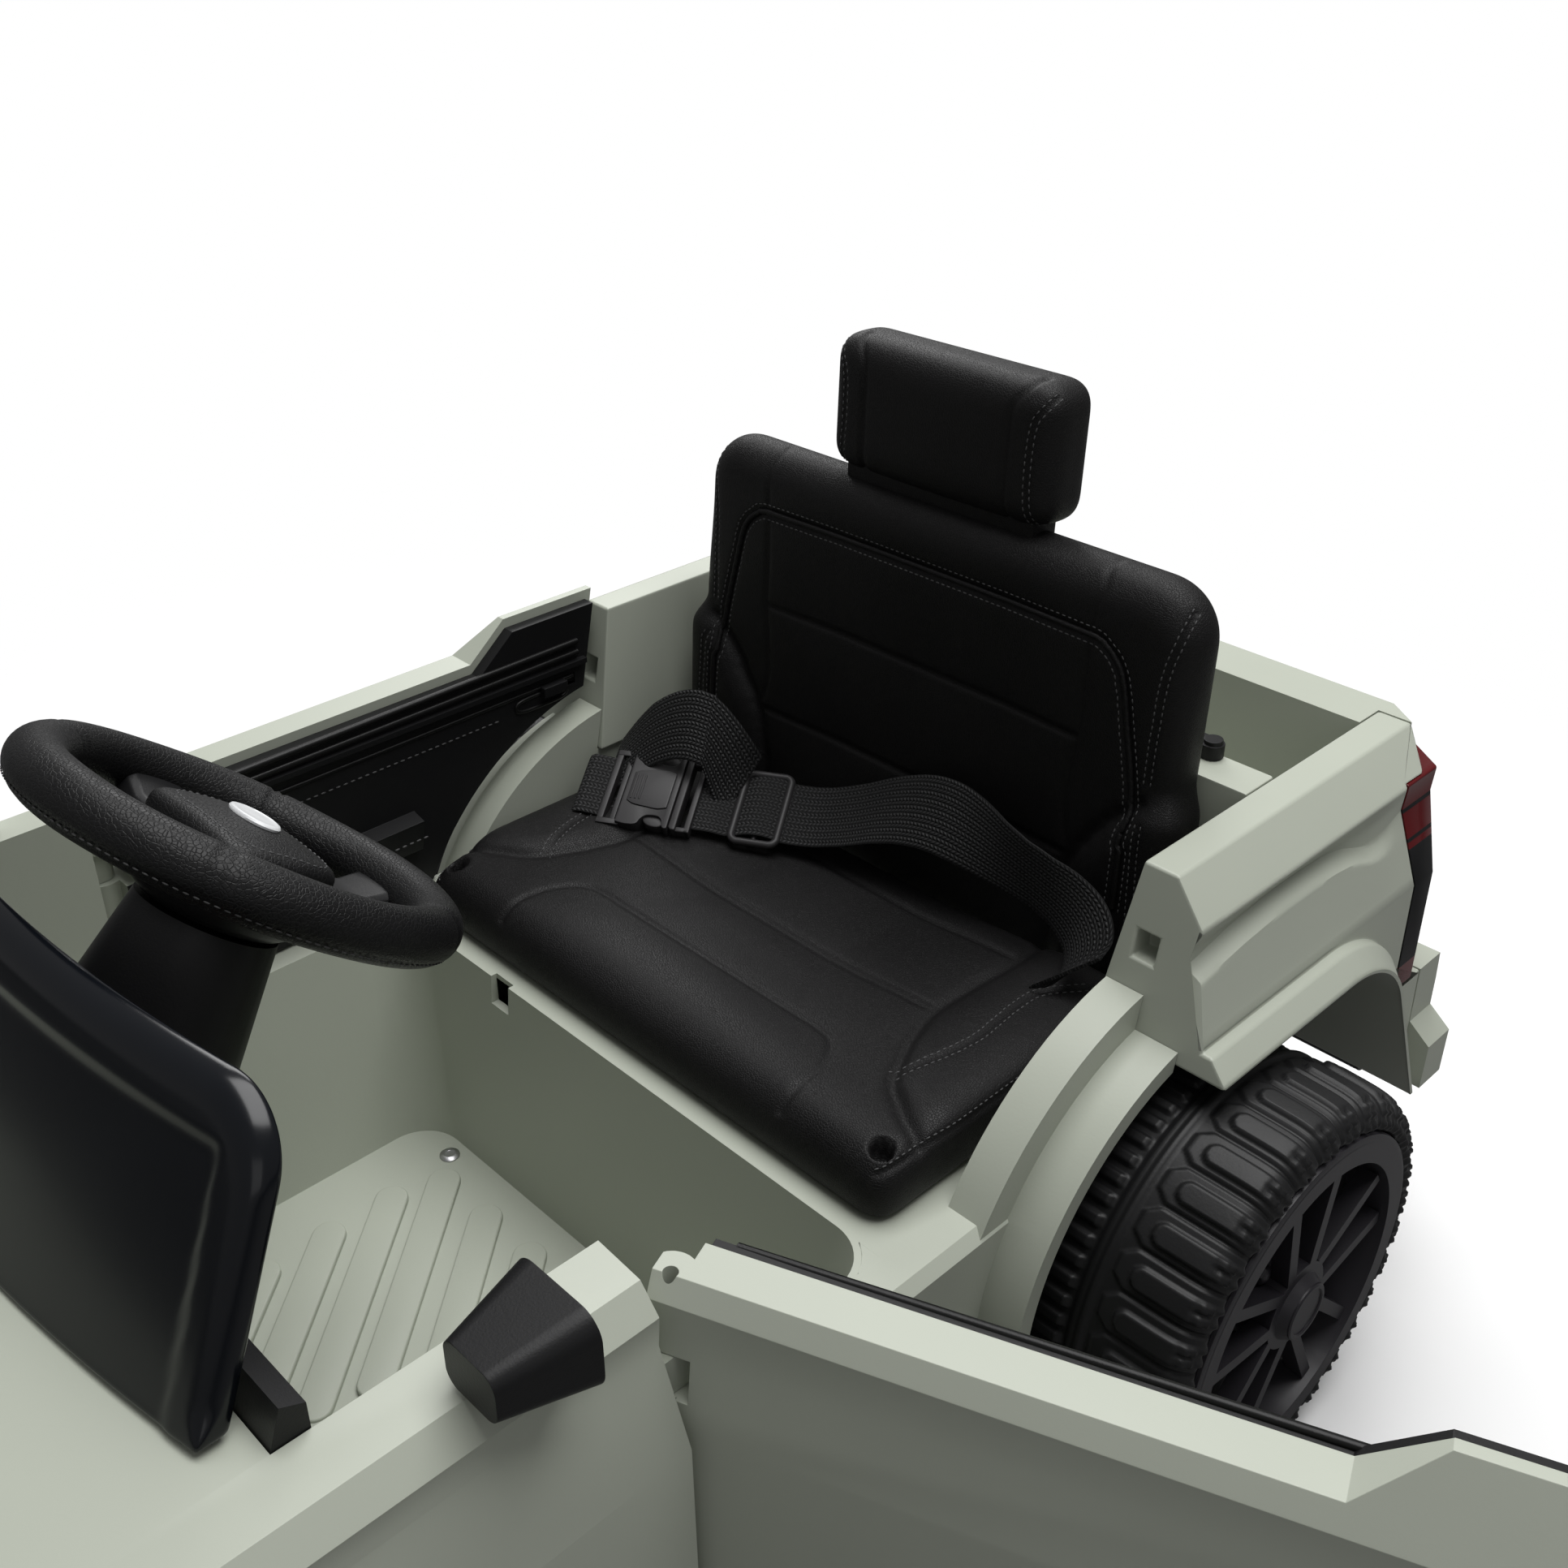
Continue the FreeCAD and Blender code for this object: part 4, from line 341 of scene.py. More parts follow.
def handIn(obj, node):
    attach(obj, bodyOf[node])
    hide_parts(node)


def rideWith(obj, body):
    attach(obj, body)
    return obj


def dressNode(node):  # a CAD node's own shape with its edges softened
    obj = objectFrom(node + "Dressed", cleanCopy(node), finish[slotFinish[slotOf[node]]])
    width = dressing["widths"].get(node, dressing["width"])
    softenEdges(obj, width, dressing["segments"], dressing["limit"], node not in dressing["unclamped"])
    if node in dressing["rounded"]:
        refine(obj, 2)
    if node.startswith("rear_quarter_"):
        sculptFlank(obj)
    smoothByAngle(obj.data, dressing["smooth"])
    evenNormals(obj)
    handIn(obj, node)
    return obj


# padded forms, worked out in local millimetres and then placed

def smoothStep(low, high, value):
    share = np.clip((value - low) / (high - low), 0, 1)
    return share * share * (3 - 2 * share)


def boxGrid(low, high, step):  # closed shell of square cells over a box
    counts = [max(2, round((h - l) / step)) for l, h in zip(low, high)]
    index, points, faces = {}, [], []

    def corner(key):
        if key not in index:
            index[key] = len(points)
            points.append([l + (h - l) * k / n for l, h, k, n in zip(low, high, key, counts)])
        return index[key]

    for axis in range(3):
        first, second = (axis + 1) % 3, (axis + 2) % 3
        for end in (0, counts[axis]):
            for i in range(counts[first]):
                for j in range(counts[second]):
                    ring = []
                    for di, dj in ((0, 0), (1, 0), (1, 1), (0, 1)):
                        key = [0, 0, 0]
                        key[axis], key[first], key[second] = end, i + di, j + dj
                        ring.append(corner(tuple(key)))
                    faces.append(ring[::-1] if end else ring)
    return np.array(points, float), faces


def padDistance(p, form):  # how far a local point lies outside the rounded pad
    middle = (form["low"] + form["high"]) / 2
    corner = np.where(p[:, 1] > middle, form["corner"], form.get("footCorner", form["corner"]))
    across = np.abs(p[:, 0]) - form["half"](p[:, 1]) + corner
    along = np.abs(p[:, 1] - middle) - (form["high"] - form["low"]) / 2 + corner
    plan = np.hypot(np.maximum(across, 0), np.maximum(along, 0)) + np.minimum(np.maximum(across, along), 0) - corner
    toFace = form["face"] + form["roundFace"](p) - p[:, 2]
    toBack = p[:, 2] - form["back"] + form["roundBack"]
    isFace = p[:, 2] < form["waist"]
    radius = np.where(isFace, form["roundFace"](p), form["roundBack"])
    outer = np.where(isFace, toFace, toBack)
    rim = plan + radius
    return np.hypot(np.maximum(rim, 0), np.maximum(outer, 0)) + np.minimum(np.maximum(rim, outer), 0) - radius


def padSlope(p, form):
    slope = np.empty_like(p)
    reach = 0.05
    for axis in range(3):
        step = np.zeros(3)
        step[axis] = reach
        slope[:, axis] = (padDistance(p + step, form) - padDistance(p - step, form)) / (2 * reach)
    return slope / np.maximum(np.linalg.norm(slope, axis=1, keepdims=True), 1e-6)


def padShell(form, step):
    reach = float(np.max(form["half"](np.linspace(form["low"], form["high"], 60))))
    p, faces = boxGrid((-reach, form["low"], form["face"]), (reach, form["high"], form["back"]), step)
    for _ in range(12):
        p -= padSlope(p, form) * padDistance(p, form)[:, None]
    slope = padSlope(p, form)
    towards = np.clip(-slope[:, 2], 0, 1)
    p += slope * (form["swell"](p) * towards)[:, None]
    return p, faces


def runAlong(line):  # length covered up to each point
    return np.concatenate(([0], np.cumsum(np.linalg.norm(np.diff(line, axis=0), axis=1))))


def smoothLine(points, step=1.0):  # evenly spaced points on a Catmull-Rom curve
    points = [np.array(point, float) for point in points]
    chain = [2 * points[0] - points[1]] + points + [2 * points[-1] - points[-2]]
    fine = []
    for a, b, c, d in zip(chain, chain[1:], chain[2:], chain[3:]):
        for t in np.linspace(0, 1, 24, endpoint=False):
            square, cube = 2 * a - 5 * b + 4 * c - d, 3 * b - a - 3 * c + d
            fine.append(0.5 * (2 * b + (c - a) * t + square * t ** 2 + cube * t ** 3))
    fine.append(points[-1])
    fine = np.array(fine)
    run = runAlong(fine)
    places = np.linspace(0, run[-1], max(2, round(run[-1] / step) + 1))
    return np.column_stack([np.interp(places, run, fine[:, axis]) for axis in range(fine.shape[1])])


def meshOf(name, points, faces):
    mesh = bpy.data.meshes.new(name)
    mesh.from_pydata([tuple(point) for point in points], [], faces)
    mesh.update()
    return mesh


def outward(mesh):
    with editing(mesh) as bm:
        bmesh.ops.recalc_face_normals(bm, faces=bm.faces)


def pointsOf(mesh, kind="co"):
    flat = np.empty(len(mesh.vertices) * 3)
    mesh.vertices.foreach_get(kind, flat)
    return flat.reshape(-1, 3)


def setPoints(mesh, points):
    mesh.vertices.foreach_set("co", np.ascontiguousarray(points).ravel())
    mesh.update()


def treeOf(mesh):
    return BVHTree.FromPolygons([vertex.co for vertex in mesh.vertices], [face.vertices[:] for face in mesh.polygons])


def onSurface(tree, points, lift=0.0):
    landed = []
    for point in points:
        place, normal = tree.find_nearest(Vector(point))[:2]
        landed.append(place + normal * lift)
    return np.array([tuple(place) for place in landed])


def farFrom(points, line):  # distance of each point to the nearest point of a line
    tree = KDTree(len(line))
    for index, place in enumerate(line):
        tree.insert(Vector(place), index)
    tree.balance()
    return np.array([tree.find(Vector(point))[2] for point in points])


padCloth = {"quality": 6, "mass": 0.2, "bending": 0.6, "frames": 20, "sewnReach": 0.6}


def inflate(obj, pins, settings):  # pressure cloth between the sewn lines, with the swell held to a cap
    rest = pointsOf(obj.data)
    group = obj.vertex_groups.new(name="sewn")
    group.add([int(index) for index in np.nonzero(pins)[0]], 1.0, "REPLACE")
    cloth = obj.modifiers.new("swell", "CLOTH")
    cloth.settings.quality = padCloth["quality"]
    cloth.settings.mass = padCloth["mass"]
    cloth.settings.tension_stiffness = settings["tension"]
    cloth.settings.compression_stiffness = settings["tension"]
    cloth.settings.bending_stiffness = padCloth["bending"]
    cloth.settings.use_pressure = True
    cloth.settings.uniform_pressure_force = settings["pressure"]
    cloth.settings.vertex_group_mass = "sewn"
    cloth.settings.effector_weights.gravity = 0
    cloth.collision_settings.use_collision = False
    for count in range(1, padCloth["frames"] + 1):
        scene.frame_set(count)
    swollen = pointsOf(obj.evaluated_get(bpy.context.evaluated_depsgraph_get()).data)
    scene.frame_set(1)
    obj.modifiers.clear()
    obj.vertex_groups.clear()
    move = swollen - rest
    length = np.maximum(np.linalg.norm(move, axis=1, keepdims=True), 1e-9)
    cap = settings["cap"] * mm
    setPoints(obj.data, rest + move / length * cap * np.tanh(length / cap))


def sewPad(name, form, place, seams, settings):
    points, faces = padShell(form, settings["grid"])
    obj = objectFrom(name, meshOf(name, place(points), faces), finish["leather"])
    outward(obj.data)
    tree = treeOf(obj.data)
    lines = [onSurface(tree, place(smoothLine(seam["path"]))) for seam in seams]
    rest = pointsOf(obj.data)
    pins = points[:, 2] > form["waist"]
    for line in lines:
        pins |= farFrom(rest, line) < settings["grid"] * padCloth["sewnReach"] * mm
    inflate(obj, pins, settings)
    refine(obj, settings["levels"])
    tree = treeOf(obj.data)
    lines = [onSurface(tree, line) for line in lines]
    fine = pointsOf(obj.data)
    normals = pointsOf(obj.data, "normal")
    sunk = np.zeros(len(fine))
    for seam, line in zip(seams, lines):
        far = farFrom(fine, line) / mm
        sunk = np.maximum(sunk, seam["depth"] * np.exp(-(far / seam["width"]) ** 2))
    setPoints(obj.data, fine - normals * sunk[:, None] * mm)
    shadeSmooth(obj.data)
    tree = treeOf(obj.data)
    print(name, "sewn with", len(obj.data.polygons), "faces")
    return obj, tree, lines


def newShapeTree(name, numbers, kind, material):
    tree = bpy.data.node_groups.new(name, "GeometryNodeTree")
    tree.interface.new_socket("Geometry", in_out="INPUT", socket_type="NodeSocketGeometry")
    for label, value in numbers:
        tree.interface.new_socket(label, in_out="INPUT", socket_type=kind).default_value = value
    tree.interface.new_socket(material, in_out="INPUT", socket_type="NodeSocketMaterial")
    tree.interface.new_socket("Geometry", in_out="OUTPUT", socket_type="NodeSocketGeometry")
    return tree, tree.nodes.new("NodeGroupInput"), tree.nodes.new("NodeGroupOutput")


def makeStitchTree():  # evenly spaced thread stitches that follow the curves they are given
    sizes = [("Spacing", 0.004), ("Length", 0.0026), ("Radius", 0.00045)]
    tree, entry, leave = newShapeTree("stitchRow", sizes, "NodeSocketFloat", "Thread")
    even = tree.nodes.new("GeometryNodeResampleCurve")
    even.mode = "LENGTH"
    tangent = tree.nodes.new("GeometryNodeInputTangent")
    turn = tree.nodes.new("FunctionNodeAlignRotationToVector")
    turn.axis = "Z"
    bead = tree.nodes.new("GeometryNodeMeshUVSphere")
    bead.inputs["Segments"].default_value = 6
    bead.inputs["Rings"].default_value = 5
    bead.inputs["Radius"].default_value = 1.0
    stretch = tree.nodes.new("ShaderNodeCombineXYZ")
    half = tree.nodes.new("ShaderNodeMath")
    half.operation = "MULTIPLY"
    half.inputs[1].default_value = 0.5
    shape = tree.nodes.new("GeometryNodeTransform")
    spread = tree.nodes.new("GeometryNodeInstanceOnPoints")
    real = tree.nodes.new("GeometryNodeRealizeInstances")
    paint = tree.nodes.new("GeometryNodeSetMaterial")
    link = tree.links.new
    link(entry.outputs["Geometry"], even.inputs["Curve"])
    link(entry.outputs["Spacing"], even.inputs["Length"])
    link(tangent.outputs["Tangent"], turn.inputs["Vector"])
    link(entry.outputs["Radius"], stretch.inputs["X"])
    link(entry.outputs["Radius"], stretch.inputs["Y"])
    link(entry.outputs["Length"], half.inputs[0])
    link(half.outputs[0], stretch.inputs["Z"])
    link(bead.outputs["Mesh"], shape.inputs["Geometry"])
    link(stretch.outputs["Vector"], shape.inputs["Scale"])
    link(even.outputs["Curve"], spread.inputs["Points"])
    link(shape.outputs["Geometry"], spread.inputs["Instance"])
    link(turn.outputs["Rotation"], spread.inputs["Rotation"])
    link(spread.outputs["Instances"], real.inputs["Geometry"])
    link(real.outputs["Geometry"], paint.inputs["Geometry"])
    link(entry.outputs["Thread"], paint.inputs["Material"])
    link(paint.outputs["Geometry"], leave.inputs["Geometry"])
    return tree


stitchTree = makeStitchTree()


def curveThrough(name, lines, radius=0.0, closed=False):
    data = bpy.data.curves.new(name, "CURVE")
    data.dimensions = "3D"
    data.bevel_depth = radius
    data.bevel_resolution = 2
    data.use_fill_caps = True
    for line in lines:
        spline = data.splines.new("POLY")
        spline.points.add(len(line) - 1)
        for point, place in zip(spline.points, line):
            point.co = (*place, 1)
        spline.use_cyclic_u = closed
    obj = bpy.data.objects.new(name, data)
    scene.collection.objects.link(obj)
    return obj


def setInputs(modifier, tree, **values):
    for item in tree.interface.items_tree:
        if item.in_out == "INPUT" and item.name in values:
            modifier[item.identifier] = values[item.name]


def madeMesh(curve, name, material, body):  # a curve or node result as a plain mesh piece
    mesh = bpy.data.meshes.new_from_object(curve.evaluated_get(bpy.context.evaluated_depsgraph_get()))
    bpy.data.objects.remove(curve)
    shadeSmooth(mesh)
    obj = objectFrom(name, mesh, material)
    return rideWith(obj, body)


def stitchRows(name, lines, body, slot, spacing, length, radius):
    thread = finish["thread"]
    curve = curveThrough(name + "Rows", lines)
    rows = curve.modifiers.new("stitches", "NODES")
    rows.node_group = stitchTree
    setInputs(rows, stitchTree, Spacing=spacing * mm, Length=length * mm, Radius=radius * mm, Thread=thread)
    madeMesh(curve, name, thread, body)


def pipe(name, lines, radius, body, material):
    madeMesh(curveThrough(name + "Path", lines, radius * mm), name, material, body)


def sideways(tree, line, offset):  # a line on the surface, moved along it to one side
    ahead = np.gradient(line, axis=0)
    normals = np.array([tuple(tree.find_nearest(Vector(point))[1]) for point in line])
    aside = np.cross(ahead, normals)
    aside /= np.maximum(np.linalg.norm(aside, axis=1, keepdims=True), 1e-9)
    return onSurface(tree, line + aside * offset * mm)


def bothSides(path):
    return [[(-point[0], *point[1:]) for point in path], path]


def crosswise(v, reach):
    return [(-reach, v, 0.0), (-reach / 3, v, 0.0), (reach / 3, v, 0.0), (reach, v, 0.0)]


def sewn(paths, depth, width):
    return [{"path": path, "depth": depth, "width": width} for path in paths]


def besideSeams(tree, lines, offset):  # one stitch row on each side of every line
    return [sideways(tree, line, side) for line in lines for side in (-offset, offset)]


# seat pads; local millimetres are (across, along, depth behind the face)

seatThread = {"spacing": 3.4, "length": 2.2, "radius": 0.4}
seatCushion = {"grid": 6.0, "levels": 2, "tension": 12.0, "pressure": 4.0, "cap": 2.2, "topZ": 166.0, "fill": 0.85,
               "bolster": 4.0, "bolsterRise": (-2, 16), "bolsterFrom": (160, 186),
               "middle": -5.0, "middleRise": (-70, 0), "middleFrom": (165, 215),
               "holeX": 150.0, "holeY": 153.0, "holeRadius": (3.8, 5.6), "holeDepth": 11.0, "holeBelow": 16}
bolsterEdge = [(166, 163, 0), (152, 168, 0), (139, 175, 0), (127, 184, 0), (120, 195, 0), (112, 212, 0), (106, 234, 0),
               (106, 262, 0), (108, 290, 0), (107, 314, 0)]
bolsterSeam = [(123, 189, 0), (130, 203, 0), (135, 229, 0), (133, 257, 0), (134, 276, 0), (146, 294, 0)]
thighSeam = [(-100, 139, 6), (-99, 158, 0), (-96, 174, 0), (-87, 187, 0), (-72, 191, 0), (-36, 191.5, 0), (0, 191.5, 0),
             (36, 191.5, 0), (72, 191, 0), (87, 187, 0), (96, 174, 0), (99, 158, 0), (100, 139, 6)]
edgeSeam = [(157, 141, 6), (161, 152, 5), (162, 170, 4), (162, 195, 4), (161, 231, 4), (160, 268, 4), (158, 300, 4)]


def cushionSwell(p):
    line = np.array(bolsterEdge, float)
    order = np.argsort(line[:, 1])
    edge = np.interp(p[:, 1], line[order, 1], line[order, 0])
    outside = np.abs(p[:, 0]) - edge
    bolster = smoothStep(*seatCushion["bolsterRise"], outside) * smoothStep(*seatCushion["bolsterFrom"], p[:, 1])
    hollow = (1 - smoothStep(*seatCushion["middleRise"], outside)) * smoothStep(*seatCushion["middleFrom"], p[:, 1])
    return seatCushion["bolster"] * bolster + seatCushion["middle"] * hollow


cushionForm = {"half": lambda v: 163.5 + 0 * v, "low": 138.0, "high": 315.0, "corner": 13.0,
               "face": 1.5, "back": 31.0, "waist": 24.0, "roundBack": 5.0, "swell": cushionSwell,
               "roundFace": lambda p: 9.0 + 13.0 * (1 - smoothStep(140, 182, p[:, 1]))}


def placeCushion(p):
    return np.column_stack([p[:, 0], p[:, 1], seatCushion["topZ"] - p[:, 2]]) * mm


def makeCushion():
    creases = sewn(bothSides(bolsterEdge), 2.0, 3.0) + sewn(bothSides(bolsterSeam), 0.7, 1.6)
    creases += sewn([thighSeam], 1.3, 1.5) + sewn([crosswise(234.6, 101)], 1.2, 1.3)
    creases += sewn([crosswise(238.2, 101)], 1.0, 1.2) + sewn([crosswise(293, 104)], 1.3, 1.5)
    creases += sewn(bothSides(edgeSeam), 0.9, 1.8)
    obj, tree, lines = sewPad("seatCushionPad", cushionForm, placeCushion, creases, seatCushion)
    bolsterLines, edgeLines = lines[2:4], lines[8:10]
    points = pointsOf(obj.data)
    away = np.hypot(np.abs(points[:, 0]) / mm - seatCushion["holeX"], points[:, 1] / mm - seatCushion["holeY"])
    top = points[:, 2] > (seatCushion["topZ"] - seatCushion["holeBelow"]) * mm
    hole = seatCushion["holeDepth"] * (1 - smoothStep(*seatCushion["holeRadius"], away))
    points[:, 2] -= np.where(top, hole, 0) * mm
    setPoints(obj.data, points)
    handIn(obj, "seat_cushion")
    rows = besideSeams(tree, bolsterLines, 2.6) + [sideways(tree, line, -2.0) for line in edgeLines]
    stitchRows("seatCushionStitches", rows, "car", "seat", **seatThread)


seatBack = {"grid": 6.0, "levels": 2, "tension": 12.0, "pressure": 4.0, "cap": 2.6, "fill": 0.85,
            "footZ": 136.2, "footY": 321.73, "lean": 2.6, "piping": 1.5,
            "wing": 7.0, "wingRise": (-1, 15), "wingFrom": (2, 26), "wingTo": (108, 121),
            "hollow": 2.5, "hollowHalf": 103, "hollowRise": (0, 55), "hollowFrom": (20, 60), "hollowTo": (165, 215)}
wingCrease = [(141, 115, 0), (133, 107, 0), (124, 98, 0), (114, 84, 0), (107, 72, 0), (102, 54, 0), (100, 40, 0),
              (98, 20, 0), (97, 4, 0)]
pipingSide = [(138, 60, 0), (138, 73, 0), (136, 112, 0), (128, 149, 0), (122, 171, 0), (113, 181, 0), (102, 184, 0),
              (50, 184.3, 0)]
backPiping = bothSides(pipingSide)[0] + [(0, 184.5, 0)] + pipingSide[::-1]
backUpright = [(104, 217, 18), (104, 214, 11), (106, 207, 4), (104, 193, 0), (103, 158, 0), (103, 133, 0), (100, 96, 0),
               (106, 72, 0)]
backEdge = [(150, 208, 12), (149, 199, 6), (145, 180, 2), (143, 150, 0), (143, 125, 0)]
wingEdge = [(145, 104, 0), (147, 70, 0), (150, 30, 0), (151, 8, 2)]


def backSwell(p):
    line = np.array(wingCrease, float)[::-1]
    edge = np.interp(p[:, 1], line[:, 1], line[:, 0])
    out, up = np.abs(p[:, 0]), p[:, 1]
    wing = smoothStep(*seatBack["wingRise"], out - edge) * (1 - smoothStep(*seatBack["wingTo"], up))
    wing = wing * smoothStep(*seatBack["wingFrom"], up)
    hollow = smoothStep(*seatBack["hollowRise"], seatBack["hollowHalf"] - out) * smoothStep(*seatBack["hollowFrom"], up)
    hollow = hollow * (1 - smoothStep(*seatBack["hollowTo"], up))
    return seatBack["wing"] * wing - seatBack["hollow"] * hollow


backForm = {"half": lambda v: 156.0 + 5.0 * (1 - smoothStep(106, 121, v)), "low": 1.0, "high": 216.5, "corner": 27.0,
            "face": 2.5, "back": 30.6, "waist": 19.0, "roundBack": 10.5, "swell": backSwell,
            "roundFace": lambda p: 11.0 + 7.0 * smoothStep(120, 190, p[:, 1])}


def placeBack(p):
    slope = math.radians(seatBack["lean"])
    return np.column_stack([p[:, 0], seatBack["footY"] + p[:, 1] * math.sin(slope) + p[:, 2] * math.cos(slope),
                            seatBack["footZ"] + p[:, 1] * math.cos(slope) - p[:, 2] * math.sin(slope)]) * mm


def makeBackrest():
    creases = sewn(bothSides(wingCrease), 2.2, 3.2) + sewn([backPiping], 1.6, 3.0)
    creases += sewn(bothSides(backUpright), 1.0, 1.5) + sewn([crosswise(133, 102), crosswise(72, 106)], 1.4, 1.5)
    creases += sewn(bothSides(backEdge) + bothSides(wingEdge), 0.7, 1.6)
    obj, tree, lines = sewPad("seatBackPad", backForm, placeBack, creases, seatBack)
    pipingLine, edgeLines = lines[2], lines[7:11]
    handIn(obj, "seat_backrest")
    piping = onSurface(tree, pipingLine, 0.5 * mm)
    pipe("seatBackPiping", [piping], seatBack["piping"], "car", finish["leather"])
    rows = besideSeams(tree, [pipingLine], 4) + besideSeams(tree, edgeLines, 1.8)
    stitchRows("seatBackStitches", rows, "car", "seat", **seatThread)


headPad = {"grid": 4.5, "levels": 2, "tension": 12.0, "pressure": 4.0, "cap": 1.8, "fill": 0.85}
headUpright = [(48, 219, 20), (46, 220.5, 13), (44, 226, 7), (44, 252, 5), (44.5, 272, 6), (50, 282, 10), (53, 286, 19)]
headEdge = [(62, 218.5, 19), (59, 222, 11), (57, 234, 7), (56.5, 254, 6), (58, 270, 8), (65, 281, 13)]
headForm = {"half": lambda v: 68.5 + 0 * v, "low": 218.4, "high": 285.6, "corner": 13.0,
            "face": 6.0, "back": 38.5, "waist": 22.0, "roundFace": lambda p: 13.0 + 0 * p[:, 0], "roundBack": 9.0,
            "swell": lambda p: 1.2 * np.cos(np.clip(p[:, 0] / 60, -1, 1) * 1.5)}


def makeHeadrest():
    creases = sewn(bothSides(headUpright), 1.3, 1.8) + sewn(bothSides(headEdge), 0.6, 1.6)
    obj, tree, lines = sewPad("headrestPad", headForm, placeBack, creases, headPad)
    handIn(obj, "headrest")
    stitchRows("headrestStitches", besideSeams(tree, lines[2:], 1.6), "car", "seat", **seatThread)


makeCushion()
makeBackrest()
makeHeadrest()


# lap belt: webbing laid along a centre line, each station with its heading and tilt

webbing = {"width": 38.0, "thick": 1.6, "across": 16, "step": 2.0, "edge": 0.4, "edgeThin": 0.55}
nearStations = [  # x, y, z in millimetres, heading and tilt in degrees
    (-94.6, 269.9, 176.5, 31, 25), (-84.3, 276.0, 176.3, 31, 25), (-75.8, 281.2, 175.2, 31, 25),
    (-67.2, 286.3, 178.0, 31, 25), (-58.6, 291.5, 178.0, 31, 25), (-50.1, 296.6, 175.6, 30, 26),
    (-34, 302.6, 178, 22, 32), (-14, 306, 186.5, 12, 42), (8, 307.5, 198.5, 5, 50), (28, 308, 207, 1, 58),
    (46, 308, 210.5, -1, 66), (66, 307.6, 209.5, -3, 78), (88, 306.4, 206, -5, 90), (110, 304.4, 203, -8, 96),
    (130, 301, 199, -14, 92), (142, 295.5, 193, -26, 78), (146.5, 288, 186, -44, 56), (143, 281, 181.5, -60, 36)]
farStations = [
    (-150, 258, 178.5, 30, 28), (-144, 264, 187, 30, 42), (-134, 271, 199, 28, 54),
    (-122, 276, 208, 24, 60), (-110, 280, 212.5, 22, 62), (-99, 284, 211.5, 20, 62)]
foldStations = [
    (-99, 283.2, 211.5, 20, 62), (-95, 284.5, 207, 0, 60), (-89, 286, 199, -10, 55),
    (-84, 288, 190, -10, 48), (-80, 290, 183, 0, 40)]
wrapStations = [
    (-137, 244.4, 177.0, 31, 25), (-143, 240.8, 177.9, 31, 25), (-148.5, 237.6, 178.1, 31, 25),
    (-151, 236.2, 176.0, 31, 25), (-148.5, 237.8, 174.0, 31, 24), (-142, 241.6, 173.6, 31, 24)]


def stripAlong(stations):
    line = smoothLine([station[:3] for station in stations], webbing["step"])
    knots = np.linspace(0, 1, len(stations))
    share = np.linspace(0, 1, len(line))
    heading = np.radians(np.interp(share, knots, [station[3] for station in stations]))
    tilt = np.radians(np.interp(share, knots, [station[4] for station in stations]))
    side = np.column_stack([-np.sin(heading) * np.cos(tilt), np.cos(heading) * np.cos(tilt), np.sin(tilt)])
    ahead = np.gradient(line, axis=0)
    up = np.cross(ahead, side)
    up /= np.linalg.norm(up, axis=1, keepdims=True)
    return line, side, up


def makeWebbing(name, node, stations):
    line, side, up = stripAlong(stations)
    places = np.linspace(-0.5, 0.5, webbing["across"] + 1) * webbing["width"]
    points, faces, marks = [], [], []
    for lift in (0.5, -0.5):
        for centre, across, top, reach in zip(line, side, up, runAlong(line)):
            for place in places:
                atEdge = abs(place) > webbing["width"] / 2 - webbing["edge"]
                thin = webbing["thick"] * lift * (webbing["edgeThin"] if atEdge else 1)
                points.append((centre + across * place + top * thin) * mm)
                marks.append((reach * mm, place * mm))
    wide = len(places)
    sheet = len(line) * wide
    for i in range(len(line) - 1):
        for j in range(wide - 1):
            a, b = i * wide + j, (i + 1) * wide + j
            faces.append((a, b, b + 1, a + 1))
            faces.append((sheet + a, sheet + a + 1, sheet + b + 1, sheet + b))
        for j in (0, wide - 1):
            a, b = i * wide + j, (i + 1) * wide + j
            faces.append((a, sheet + a, sheet + b, b))
    for i in (0, len(line) - 1):
        for j in range(wide - 1):
            a = i * wide + j
            faces.append((a, a + 1, sheet + a + 1, sheet + a))
    mesh = meshOf(name, points, faces)
    layer = mesh.uv_layers.new(name="weave")
    for loop in mesh.loops:
        layer.data[loop.index].uv = marks[loop.vertex_index]
    outward(mesh)
    smoothByAngle(mesh, 50)
    obj = objectFrom(name, mesh, finish["webbing"])
    if node:
        handIn(obj, node)
    else:
        rideWith(obj, "car")


makeWebbing("lapBeltNear", "belt_near", nearStations)
makeWebbing("lapBeltFar", "belt_far", farStations)
makeWebbing("lapBeltFold", "", foldStations)
makeWebbing("lapBeltWrap", "", wrapStations)
print("seat and belt made")


# small solids drawn as outlines or turned profiles in local millimetres

def plates(name, shapes, place, material, bevel, segments=3):  # each shape is an outline with a low and a high level
    points, faces = [], []
    for outline, low, high in shapes:
        start, count = len(points), len(outline)
        points += [(x, y, low) for x, y in outline] + [(x, y, high) for x, y in outline]
        faces.append([start + i for i in reversed(range(count))])
        faces.append([start + count + i for i in range(count)])
        for i in range(count):
            j = (i + 1) % count
            faces.append((start + i, start + j, start + count + j, start + count + i))
    mesh = meshOf(name, place(np.array(points, float)), faces)
    outward(mesh)
    obj = objectFrom(name, mesh, material)
    softenEdges(obj, bevel * mm, segments, 40)
    smoothByAngle(obj.data, 42)
    return obj


def asDrawn(p):
    return p * mm


def mirrored(outline):
    return [(-x, y) for x, y in reversed(outline)]


